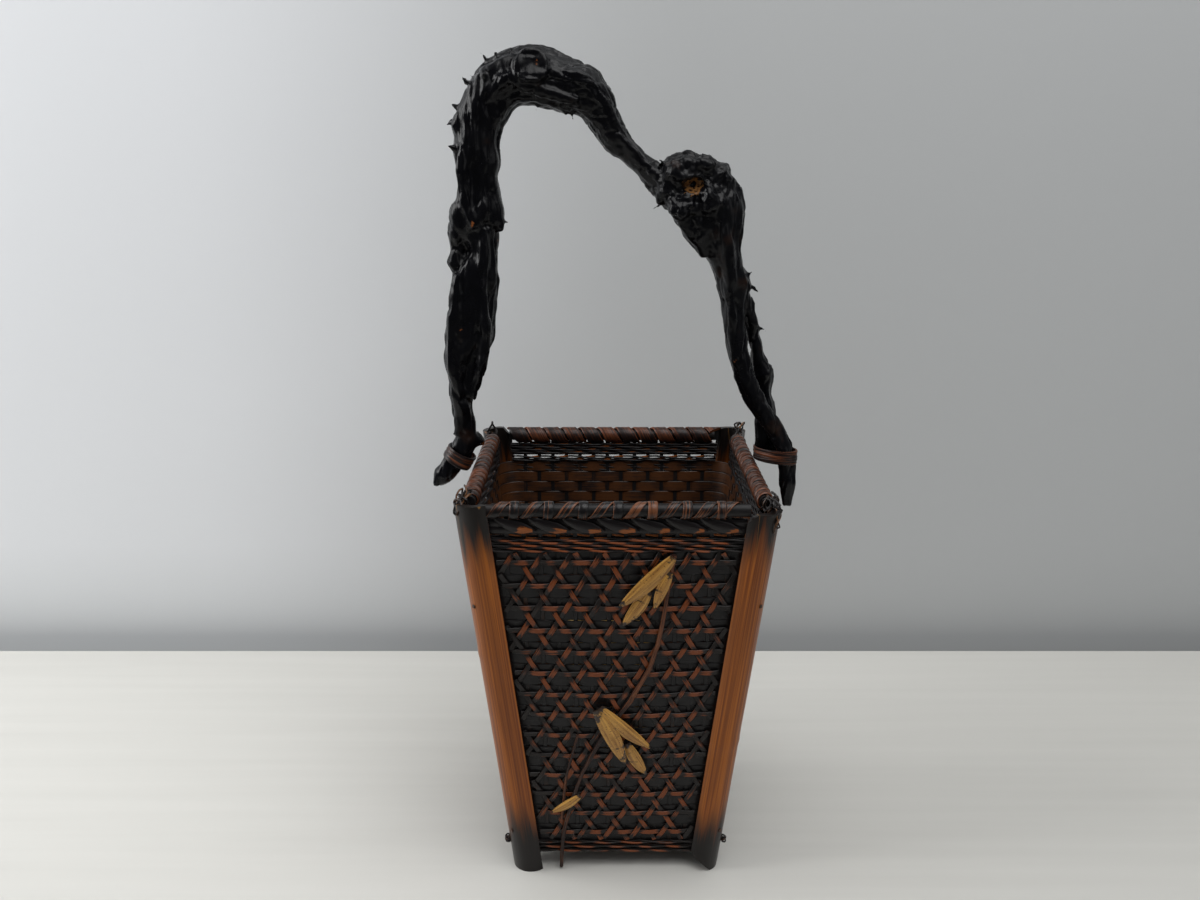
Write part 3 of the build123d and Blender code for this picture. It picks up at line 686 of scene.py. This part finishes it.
# Stations along the root: across, up, width and depth, as shares of the three sizes above.
handle_course_shares = [
    (-1.13, -0.064, 0.14, 0.3), (-1.075, -0.04, 0.42, 0.42), (-1.0, 0.0, 0.46, 0.46),
    (-0.94, 0.04, 0.48, 0.46), (-0.925, 0.08, 0.41, 0.46), (-0.94, 0.12, 0.43, 0.46),
    (-0.945, 0.16, 0.5, 0.52), (-0.94, 0.2, 0.6, 0.62), (-0.93, 0.24, 0.76, 0.72),
    (-0.91, 0.28, 0.9, 0.78), (-0.88, 0.32, 0.99, 0.8), (-0.86, 0.36, 0.91, 0.8),
    (-0.85, 0.41, 0.92, 0.8), (-0.83, 0.46, 0.9, 0.78), (-0.795, 0.505, 0.62, 0.66),
    (-0.8, 0.54, 0.7, 0.7), (-0.83, 0.58, 1.0, 0.8), (-0.81, 0.61, 1.06, 0.84),
    (-0.805, 0.64, 0.86, 0.8), (-0.808, 0.68, 0.82, 0.78), (-0.805, 0.72, 0.92, 0.82),
    (-0.81, 0.76, 0.88, 0.84), (-0.8, 0.795, 0.9, 0.84), (-0.77, 0.83, 0.96, 0.86),
    (-0.7, 0.875, 0.98, 0.9), (-0.6, 0.9, 1.02, 0.94), (-0.49, 0.905, 1.06, 0.98),
    (-0.385, 0.895, 1.04, 0.96), (-0.28, 0.882, 1.0, 0.92), (-0.2, 0.872, 0.98, 0.86),
    (-0.125, 0.845, 0.8, 0.78), (-0.075, 0.81, 0.66, 0.68), (-0.01, 0.77, 0.56, 0.58),
    (0.08, 0.735, 0.44, 0.48), (0.18, 0.7, 0.44, 0.5), (0.27, 0.675, 0.7, 0.72),
    (0.37, 0.675, 1.06, 1.1), (0.47, 0.655, 1.2, 1.22), (0.56, 0.62, 1.2, 1.2),
    (0.605, 0.57, 1.0, 0.98), (0.635, 0.51, 0.72, 0.76), (0.665, 0.47, 0.64, 0.66),
    (0.69, 0.43, 0.62, 0.6), (0.695, 0.39, 0.5, 0.54), (0.715, 0.31, 0.44, 0.48),
    (0.75, 0.25, 0.43, 0.46), (0.785, 0.21, 0.42, 0.44), (0.83, 0.17, 0.41, 0.42),
    (0.89, 0.13, 0.4, 0.4), (0.96, 0.09, 0.37, 0.38), (1.02, 0.05, 0.36, 0.36),
    (1.055, 0.01, 0.36, 0.36), (1.07, -0.05, 0.36, 0.34), (1.075, -0.12, 0.2, 0.22),
]
# The side stem's stations: across, up, away, width and depth.
stem_course_shares = [
    (0.72, 0.425, 0.1, 0.3, 0.3), (0.8, 0.375, 0.22, 0.3, 0.3), (0.84, 0.31, 0.32, 0.28, 0.3),
    (0.88, 0.25, 0.38, 0.27, 0.3), (0.915, 0.208, 0.42, 0.42, 0.42), (0.925, 0.165, 0.45, 0.3, 0.34),
    (0.94, 0.1, 0.42, 0.44, 0.36), (0.945, 0.008, 0.37, 0.46, 0.3),
]


def grown_stick(skin, stations, ridge, seed):
    """A gnarled stick through stations of (centre, width, depth), with ridges along its grain."""
    smooth = []
    last = len(stations) - 1
    steps_between, sides = 5, 32
    for number in range(last):
        a, b = stations[max(number - 1, 0)], stations[number]
        c, d = stations[number + 1], stations[min(number + 2, last)]
        for step in range(steps_between):
            t = step / steps_between
            values = []
            for part in range(5):
                p, q, r, s = a[part], b[part], c[part], d[part]
                bend, sharper = 2 * p - 5 * q + 4 * r - s, 3 * q - p - 3 * r + s
                values.append(0.5 * (2 * q + (r - p) * t + bend * t**2 + sharper * t**3))
            smooth.append(values)
    smooth.append(list(stations[-1]))
    rings = []
    run = 0.0
    for number, (x, y, z, width, depth) in enumerate(smooth):
        before, after = smooth[max(number - 1, 0)], smooth[min(number + 1, len(smooth) - 1)]
        way = Vector((after[0] - before[0], 0, after[2] - before[2])).normalized()
        run += hypot(x - before[0], z - before[2])
        sideways, across = Vector((way.z, 0, -way.x)) * (width / 2), Vector((0, 1, 0)) * (depth / 2)
        ring = []
        for step in range(sides):
            angle = 2 * pi * step / sides
            flow = Vector((1.9 * cos(angle), 1.9 * sin(angle), run / 42 + seed))
            swell = 1 + ridge * noise(flow) + 0.5 * ridge * noise(flow * 2.3)
            reach = sideways * (swell * cos(angle)) + across * (swell * sin(angle))
            ring.append(Vector((x, y, z)) + reach)
        rings.append(ring)
    skin.add_strand(rings)


def grown_lump(skin, centre, size, seed, rough=0.3):
    """A rounded knob or burr; size is its reach each way."""
    rows, sides = 12, 18
    rings = []
    for row in range(1, rows):
        polar = pi * row / rows
        ring = []
        for step in range(sides):
            angle = 2 * pi * step / sides
            wide = sin(polar)
            way = Vector((wide * cos(angle), wide * sin(angle), cos(polar)))
            reach = 1 + rough * noise(way * 1.6 + Vector((seed, 0, 0)))
            stretched = Vector((way.x * size[0], way.y * size[1], way.z * size[2]))
            ring.append(Vector(centre) + stretched * reach)
        rings.append(ring)
    skin.add_strand(rings)


root = Skin()


def station(x, z, y, width, depth):
    """A station in mm from its shares of the handle's half span, rise and girth."""
    girths = [handle_girth * share for share in (y, width, depth)]
    return handle_half_span * x, girths[0], rim_height + handle_rise * z, girths[1], girths[2]


grown_stick(root, [station(x, z, 0.0, w, d) for x, z, w, d in handle_course_shares], 0.16, 3)
grown_stick(root, [station(*shares) for shares in stem_course_shares], 0.2, 8)
root_ridges = (
    [(-93, -9, 366, 5, 5), (-95, -10, 350, 9, 7), (-97, -10, 330, 10, 8), (-97, -9, 312, 10, 8),
     (-95, -7, 296, 9, 8), (-94, -5, 280, 9, 7), (-96, -4, 266, 8, 6)],
    [(-76, -9, 392, 4, 4), (-78, -10, 372, 7, 6), (-79, -10, 350, 8, 6), (-78, -10, 328, 8, 6),
     (-82, -9, 308, 7, 6), (-88, -6, 290, 6, 5)],
    [(-86, -10, 446, 4, 4), (-88, -11, 430, 7, 6), (-87, -11, 410, 8, 6), (-82, -11, 392, 6, 5)],
    [(-74, -11, 462, 5, 4), (-62, -13, 474, 8, 6), (-50, -14, 470, 8, 6), (-36, -13, 466, 7, 5),
     (-22, -11, 462, 5, 4)],
    [(-30, -12, 477, 4, 4), (-20, -12, 474, 8, 6), (-10, -10, 464, 8, 6), (-2, -8, 450, 6, 5)],
    [(0, -8, 444, 5, 4), (10, -7, 434, 6, 5), (20, -8, 424, 6, 5), (28, -12, 416, 5, 4)],
    [(58, -15, 404, 5, 4), (63, -13, 384, 8, 6), (66, -10, 364, 7, 5), (68, -8, 344, 5, 4),
     (72, -6, 322, 4, 3)],
    [(38, -9, 412, 26, 20), (44, -9, 398, 21, 16), (49, -8, 385, 12, 10), (52, -6, 375, 3.5, 4)],
)
for course in root_ridges:
    grown_stick(root, course, 0.3, len(root.points) * 0.013)
sawn_knob = [Vector((-48, -2.9 * step, 476.0 + 0.9 * step)) for step in range(7)]
root.add_strand(round_rings(sawn_knob, [22, 22, 22, 22, 21.5, 21, 19], 26))
root_lumps = [
    ((56, -4, 386), (8, 8, 10)), ((33, -14, 424), (6, 6, 6)), ((50, -13, 428), (6, 6, 5)),
    ((36, -17, 403), (6, 5, 7)), ((52, -16, 408), (6, 6, 8)), ((60, -6, 420), (6, 8, 7)),
    ((-66, -3, 473), (8, 8, 6)), ((-88, -2, 449), (7, 7, 9)),
    ((-93, 0, 389), (7, 8, 13)), ((-71, -2, 396), (6, 7, 7)), ((-94, -1, 372), (6, 7, 9)),
    ((-97, -2, 330), (5, 6, 10)), ((-86, 3, 262), (4, 5, 5)),
    ((-8, 0, 455), (9, 9, 8)), ((-3, -3, 449), (6, 7, 7)), ((-22, 0, 470), (8, 9, 7)),
    ((38, -6, 423), (13, 14, 10)), ((57, -2, 419), (11, 13, 9)), ((62, 2, 410), (8, 12, 12)),
    ((30, -6, 414), (8, 11, 12)), ((38, -12, 406), (10, 8, 9)), ((48, -4, 396), (9, 10, 14)),
    ((75, 6, 358), (6, 7, 10)), ((80, 8, 344), (5, 6, 7)), ((91, 13, 303), (7, 7, 6)),
]
for number, (centre, size) in enumerate(root_lumps):
    grown_lump(root, centre, size, number * 3.7)
spikes = [
    ((-82, -6, 470), (-87, -8, 475), 5.0), ((-89, -2, 458), (-95, -3, 461), 5.0),
    ((-66, -2, 482), (-69, -4, 489), 5.5), ((-58, -4, 485), (-60, -8, 491), 5.0),
    ((-72, -9, 472), (-75, -14, 477), 5.0), ((-92, -5, 436), (-97, -8, 438), 4.5),
    ((-45, -2, 463), (-46, -3, 457), 3.0), ((-27, -3, 460), (-25, -4, 452), 4.5),
    ((-33, -3, 461), (-29, -4, 454), 3.5), ((-74, 0, 484), (-77, -1, 489), 3.0),
    ((-80, 0, 474), (-84, -1, 477), 3.5), ((-94, 0, 452), (-98, 0, 449), 4.0),
    ((-68, -1, 397), (-63, -2, 394), 4.0), ((32, -6, 424), (23, -8, 431), 3.6),
    ((30, -6, 408), (20, -5, 402), 4.2), ((82, 6, 356), (87, 5, 352), 3.0),
    ((78, 6, 362), (83, 6, 367), 2.6), ((88, 9, 331), (92, 9, 329), 2.4),
]
for base, tip, girth in spikes:
    base, tip = Vector(base), Vector(tip)
    points = [base.lerp(tip, step / 5) for step in range(6)]
    root.add_strand(round_rings(points, [girth * (1 - 0.14 * step) for step in range(6)], 8))

# Lacquer over peeled root: black with a bluish gloss, thin and brown on worn ridges, dull in the
# hollows, and bare wood inside the burl's hole and on the sawn foot. The wood in the hole darkens to
# near black towards its middle as painted shade.
lacquer, tree, shader = start_material("black_lacquer_over_root", 0.28)
shader.inputs["Specular IOR Level"].default_value = 0.14
shader.inputs["Coat Weight"].default_value = 0.08
shader.inputs["Coat Roughness"].default_value = 0.12
place = add_node(tree, "TexCoord").outputs["Object"]
patches = noise_node(tree, place, 55.0, 6.0)
grain = noise_node(tree, place, (260, 260, 60), 6.0)
nicks = noise_node(tree, place, 95.0, 3.0)
ragged = noise_node(tree, place, 210.0, 3.0)
pits = add_node(tree, "TexVoronoi", {"Vector": place, "Scale": 240.0}).outputs["Distance"]
black = mix_of(tree, share_of(tree, patches, 0.62, 0.76), "08080B", "22150F")
nicked = mix_of(tree, share_of(tree, nicks, 0.725, 0.75), black, "7E4A28")
flattened = add_node(tree, "Mapping", {"Vector": place, "Scale": (1, 0.3, 1.45)}).outputs[0]
hole_middle = (0.0435, -0.0055, 0.604)
hole_place = add_node(tree, "VectorMath", {0: flattened, 1: hole_middle}, operation="DISTANCE")
hole_noise = sum_of(tree, "MULTIPLY", ragged, 0.024)
hole_reach = sum_of(tree, "ADD", hole_place.outputs["Value"], hole_noise)
hole_whole = share_of(tree, hole_reach, 0.0176, 0.0164)
hole = sum_of(tree, "MULTIPLY", hole_whole, share_of(tree, nicks, 0.47, 0.52))
bare_wood = mix_of(tree, grain, "3A2413", "93683D")
# Painted shade: the hole's bare wood goes near black towards the middle of the hole.
wood = mix_of(tree, share_of(tree, hole_reach, 0.0138, 0.0128, last=0.95), bare_wood, "120C08")
lacquer_colour = mix_of(tree, hole, nicked, wood)
dull = share_of(tree, patches, 0.35, 0.7, 0.18, 0.4)
pit_relief = add_node(tree, "Bump", {"Height": pits, "Strength": 0.25, "Distance": 0.0006})
grain_relief = add_node(
    tree, "Bump", {"Height": grain, "Strength": 0.6, "Distance": 0.0011, "Normal": pit_relief.outputs[0]}
)
tree.links.new(lacquer_colour, shader.inputs["Base Color"])
tree.links.new(dull, shader.inputs["Roughness"])
tree.links.new(grain_relief.outputs[0], shader.inputs["Normal"])

handle = root.make_piece("root_handle", lacquer, "lacquered_root", ["handle_root"], 180)
remesh = handle.modifiers.new("fuse", "REMESH")
remesh.mode = "VOXEL"
remesh.voxel_size = 0.0011
remesh.use_smooth_shade = True
fused = bpy.data.meshes.new_from_object(handle.evaluated_get(bpy.context.evaluated_depsgraph_get()))
handle.modifiers.clear()
handle.data = fused
burl_hole = Vector((43.5, -17.0, 416.5)) * mm
burl_middle, burl_reach = Vector((44, 0, 415)), 32
hole_size, hole_depth, hole_behind = 7, 7.0, 0.008
legs_from = 55
fused.update()
ways_out = [vertex.normal.copy() for vertex in fused.vertices]
for vertex, way in zip(fused.vertices, ways_out):
    spot = vertex.co / mm
    gnarl = 0.9 * noise(spot / 9) + 0.5 * noise(Vector((spot.x, spot.y, spot.z * 0.35)) / 3.2)
    knotty = max(0, 1 - (spot - burl_middle).length / burl_reach)
    gnarl += min(1, 2 * knotty) * (1.8 * noise(spot / 5.5) + 1.3 * noise(spot / 2.7))
    is_leg = abs(spot.x) > legs_from
    along = Vector((spot.x, spot.y, spot.z * 0.22)) if is_leg else Vector((spot.x * 0.3, spot.y, spot.z))
    crease = max(0, 1 - 7 * abs(noise(along / 6.5)))
    gnarl -= 1.5 * crease * (0.5 + 0.5 * noise(spot / 30))
    vertex.co += way * (gnarl * mm - 0.1 * mm)
    off_hole = vertex.co - burl_hole
    near = Vector((off_hole.x, off_hole.y * 0.5, off_hole.z * 1.45)).length / mm
    if near < hole_size and off_hole.y < hole_behind:
        vertex.co += Vector((0, 1, 0)) * (hole_depth * (1 - near / hole_size) ** 0.6 * mm)
fused.shade_smooth()


# Handle lashings: brown cane wound tight round each foot of the root, six turns side by side, and
# drawn over the side rim. The right one takes in the stem as well, so it is an oval.
lash_turns, lash_pitch, lash_width, lash_thickness = 6, 1.35, 2.0, 0.9
lash_steps, lash_overlap = 40, 2
left_lash = (Vector((-97.2, 0.0, 252.0)), 31.0, 8.8, 8.4)
right_lash = (Vector((99.8, 5.4, 252.0)), 0.0, 14.6, 8.8)
lashings = Skin()
for centre, lean_degrees, long_reach, short_reach in (left_lash, right_lash):
    turn = turned(lean_degrees, "Y")
    for lap in range(lash_turns):
        points, ways = [], []
        tip_one, tip_two = vary(-0.05, 0.05), vary(-0.05, 0.05)
        for step in range(lash_steps + lash_overlap + 1):
            angle = 2 * pi * step / lash_steps
            way = Vector((cos(angle), sin(angle), 0))
            oval = hypot(short_reach * cos(angle - 2.356), long_reach * sin(angle - 2.356))
            reach = long_reach * short_reach / oval
            z = (lap - (lash_turns - 1) / 2) * lash_pitch + reach * (tip_one * way.x + tip_two * way.y)
            lift = 0.25 * lap % 0.5 + 0.2 * noise(Vector((step * 0.3, lap, 0)))
            points.append(centre + turn @ (way * (reach + lift) + Vector((0, 0, z))))
            ways.append(turn @ way)
        rings = strip_rings(points, ways, lash_width, lash_thickness, 0.35)
        lashings.add_strand(rings, 0.35 + vary(-0.3, 0.3))
lashings.make_piece("handle_foot_lashings", cane_brown, "dyed_cane", ["handle_lashings"])


# Foot knots: the ends of the floor ties, thin dark cane, knotted on the outer side of each post
# just above the foot.
knot_height, knot_turns, knot_reach, knot_pitch = 18.0, 5, 1.5, 0.7
knots = Skin()
for across, away in corner_signs:
    half = corner_half(knot_height)
    centre = Vector((across * (half + post_radius + 1.5), away * half, knot_height))
    for number in range(knot_turns):
        spin = Matrix.Rotation(vary(0, pi), 3, "Z")
        spin @= Matrix.Rotation(vary(0, pi), 3, "X")
        rise = Vector((0, 0, number - 2)) * knot_pitch
        points = []
        for step in range(16):
            angle = 2 * pi * step / 14
            loop = Vector((knot_reach * cos(angle), knot_reach * sin(angle), 0.5 * sin(2 * angle)))
            points.append(centre + spin @ loop + rise)
        knots.add_strand(round_rings(points, 0.95, 7), vary(0.1, 0.55))
knots.make_piece("foot_tie_knots", knot_cane, "dyed_cane", ["foot_knots"])


# Sprig: a thin bamboo stem and a twig, natural branches with their nodes, pinned over the weave.
# The stem begins under the twined band and hangs past the wall's foot.
node_places, stem_girth, node_swell = (0, 7, 8, 15), 2.5, 0.7
sprig_stem = strip_material("bamboo_twig_brown", "231511", "6A3F27", 0.45, 0.2, 0.9, 0.5)
stem_places = [
    (31.4, 218.6), (29.6, 205), (27.6, 190), (26, 178), (23.5, 163), (19, 147), (14, 137), (10.6, 131),
    (8, 125), (2, 116), (-4, 107), (-9, 98.5), (-15, 86), (-20, 75), (-23.5, 64), (-25.5, 57),
    (-28, 47), (-30, 40), (-32, 30), (-33, 21), (-33.6, 11), (-34, 1.9),
]


def sprig_course(places):
    """A course over the over-weave through places on the front."""
    return [wall_point("front", x, z, 3.1) for x, z in places]


stem = Skin()
points = sprig_course(stem_places)
girths, wear_and_shade_values = [], []
for number in range(len(points)):
    girths.append(stem_girth - 0.25 * sin(number) + (node_swell if number in node_places else 0))
    wear_and_shade_values.append(0.2 + 0.5 * (number < 9))
stem.add_strand(round_rings(points, girths, 10), wear_and_shade_values)
stem.make_piece("sprig_stem_twig", sprig_stem, "sprig_twig", ["sprig_stem"])
side_twig = Skin()
twig_places = [
    (-22.8, 101.4), (-24.5, 95), (-27, 84), (-29.9, 73), (-31.2, 62), (-32.2, 50), (-33.2, 39.7),
]
twig_girths = [1.1, 1.3, 1.5, 1.6, 1.5, 1.7, 2.0]
side_twig.add_strand(round_rings(sprig_course(twig_places), twig_girths, 8), 0.35)
side_twig.make_piece("sprig_side_twig", sprig_stem, "sprig_twig", ["sprig_twig"])


# Leaves: pieces of golden culm sheath cut to pointed leaf shapes, a little cupped, with fine ribs
# and dark specks, and burnt towards their ends. They are glued to the stem's nodes.
sheath, tree, shader = start_material("golden_culm_sheath", 0.42)
fibre = add_node(tree, "UVMap", uv_map="fibre").outputs[0]
ribs = noise_node(tree, fibre, (0.05, 1.5, 1), 5.0)
specks = noise_node(tree, fibre, 1.3, 3.0)
blots = noise_node(tree, fibre, 0.28, 4.0)
gold = mix_of(tree, share_of(tree, ribs, 0.3, 0.7), "784A18", "CC9A48")
gold_specked = mix_of(tree, share_of(tree, specks, 0.62, 0.67), gold, "4A2E12")
burnt = add_node(tree, "Attribute", attribute_name="wear_and_shade").outputs["Fac"]
burnt_part = sum_of(tree, "ADD", burnt, share_of(tree, blots, 0.3, 0.7, -0.4, 0.62))
gold_burnt = mix_of(tree, share_of(tree, burnt_part, 0.55, 0.8), gold_specked, "2A1B0E")
dress(tree, shader, gold_burnt, ribs, 0.5, 0.0004)

leaf_steps = 14
# Each leaf: its root and its tip (across, up), its fullness and how far it stands off the lining.
leaf_places = [
    ((31.6, 218.6), (0.9, 187.4), 0.21, 4.9), ((29.8, 209.2), (21.0, 186.1), 0.26, 4.9),
    ((18.6, 198.0), (3.0, 174.5), 0.28, 2.9), ((-10.4, 122.0), (20.5, 92.9), 0.2, 5.0),
    ((-12.6, 121.0), (5.3, 82.0), 0.22, 5.6), ((6.0, 95.7), (18.1, 72.3), 0.28, 2.9),
    ((-21.5, 58.1), (-39.4, 45.0), 0.26, 4.8),
]
leaves = Skin()
for number, ((x, z), (tip_x, tip_z), fullness, depth) in enumerate(leaf_places):
    length = hypot(tip_x - x, tip_z - z)
    points, widths = [], []
    for step in range(leaf_steps + 1):
        share = 0.02 + 0.96 * step / leaf_steps
        bow = 0.05 * length * sin(pi * share) * (1 if number % 2 else -1)
        side_x, side_z = (tip_z - z) / length * bow, -(tip_x - x) / length * bow
        leaf_x = x + (tip_x - x) * share + side_x * 0.5
        leaf_z = z + (tip_z - z) * share + side_z * 0.5
        lift = depth - 0.35 + 0.54 * sin(pi * share)
        points.append(wall_point("front", leaf_x, leaf_z, lift))
        widths.append(length * fullness * sin(pi * (0.1 + 0.88 * share)) ** 0.75 + 0.2)
    burnt_whole = 0.25 * (number % 3 > 0)
    ends = [0.75 * abs(place) ** 5 + burnt_whole for place in spread(1, leaf_steps)]
    leaves.add_strand(strip_rings(points, wall_way_out("front"), widths, 0.7, 0.9), ends)
leaves.make_piece("sprig_sheath_leaves", sheath, "sprig_leaf", ["sprig_leaves"], 80)


# Water tube: a plain length of culm closed by its own septum, scraped and dried, with a sawn
# mouth. It stands loose on the mat, keeps the CAD's shape and is lifted out to be filled.
pale_culm, tree, shader = start_material("dry_bamboo_culm_scraped", 0.5)
place = add_node(tree, "TexCoord").outputs["Object"]
grain = noise_node(tree, place, (420, 420, 14), 6.0)
blotches = noise_node(tree, place, 30.0, 4.0)
culm_colour = mix_of(tree, share_of(tree, grain, 0.35, 0.7), "8E7443", "C2A468")
stained = mix_of(tree, share_of(tree, blotches, 0.5, 0.75, last=0.6), culm_colour, "5C4423")
dress(tree, shader, stained, grain, 0.4, 0.0004)
paint_cad("water_tube", pale_culm)


# Table and wall: a table top painted white with its grain just showing, and a pale grey wall close
# behind it. Neither belongs to the basket.
table_edge = 0.25
painted, tree, shader = start_material("white_painted_table", 0.5)
place = add_node(tree, "TexCoord").outputs["Object"]
grain = noise_node(tree, place, (3, 70, 1), 6.0)
paint_colour = mix_of(tree, share_of(tree, grain, 0.3, 0.75), "C3C2BD", "C8C7C2")
tree.links.new(paint_colour, shader.inputs["Base Color"])


def backdrop(name, material, corners):
    """One flat face of the stage."""
    mesh = bpy.data.meshes.new(name)
    mesh.from_pydata(corners, [], [(0, 1, 2, 3)])
    mesh.materials.append(material)
    return add_object(name, mesh)


table_corners = [(-1, -0.5, 0), (1, -0.5, 0), (1, table_edge, 0), (-1, table_edge, 0)]
table_top = backdrop("table_top", painted, table_corners)

# The wall is painted with shade, darker away from the window and in a band just above the table, and is
# clear from behind so that it hides no view.
wall_paint, tree, shader = start_material("pale_grey_wall", 0.8)
place = add_node(tree, "TexCoord").outputs["Object"]
position = add_node(tree, "SeparateXYZ", {0: place})
# Painted shade: the wall's paint darkens just above the table's edge.
clear_of_table_shade = share_of(tree, position.outputs[2], -0.02, 0.09)
away_from_light = share_of(tree, position.outputs[0], -0.38, 0.08, last=0.8, smooth=True)
unevenness = noise_node(tree, place, 1.5, 2.0)
lit_and_uneven_share = sum_of(tree, "MULTIPLY", clear_of_table_shade, share_of(tree, unevenness, 0, 1, 0.85, 1.0))
wall_colour = mix_of(tree, lit_and_uneven_share, "D2D5D6", "E2E4E7")
shaded = mix_of(tree, away_from_light, wall_colour, "ABADAD")
tree.links.new(shaded, shader.inputs["Base Color"])
far_side = add_node(tree, "NewGeometry").outputs["Backfacing"]
see_through = add_node(tree, "BsdfTransparent").outputs[0]
one_sided = add_node(tree, "MixShader", {0: far_side, 1: shader.outputs[0], 2: see_through})
tree.links.new(one_sided.outputs[0], tree.nodes["Material Output"].inputs["Surface"])
back = table_edge + 0.03
wall_corners = [(-4, back, -1), (4, back, -1), (4, back, 3), (-4, back, 3)]
wall_behind = backdrop("wall_behind", wall_paint, wall_corners)


# Light: a weak even room, a soft panel above, a window on the left and a faint fill on the right.
world = bpy.data.worlds.new("room")
bpy.context.scene.world = world
world.use_nodes = True
world.node_tree.nodes["Background"].inputs[0].default_value = hex_colour("E6EAEE")
world.node_tree.nodes["Background"].inputs[1].default_value = 0.09
lamp_target = Vector((0, 0, 0.2))
for name, place_of_lamp, size, watts in (
    ("ceiling_panel", (0.35, -0.5, 1.7), 1.5, 26), ("window_side", (-1.3, -0.08, 0.9), 0.9, 17),
    ("room_side", (1.5, -1.6, 1.0), 1.2, 3),
):
    lamp = bpy.data.lights.new(name, "AREA")
    lamp.size = size
    lamp.energy = watts
    lit = add_object(name, lamp)
    lit.location = place_of_lamp
    lit.rotation_euler = (lamp_target - lit.location).to_track_quat("-Z", "Y").to_euler()


# Camera: fitted to the rim's corners and the feet in the photograph.
camera = bpy.data.cameras.new("camera")
camera.lens, camera.sensor_width = 32.8, 36.0
viewer = add_object("camera", camera)
viewer.location = (-0.0098, -0.655, 0.434)
viewer.rotation_euler = (radians(74.8), 0, 0)
bpy.context.scene.camera = viewer
bpy.context.scene.view_settings.view_transform = "Standard"
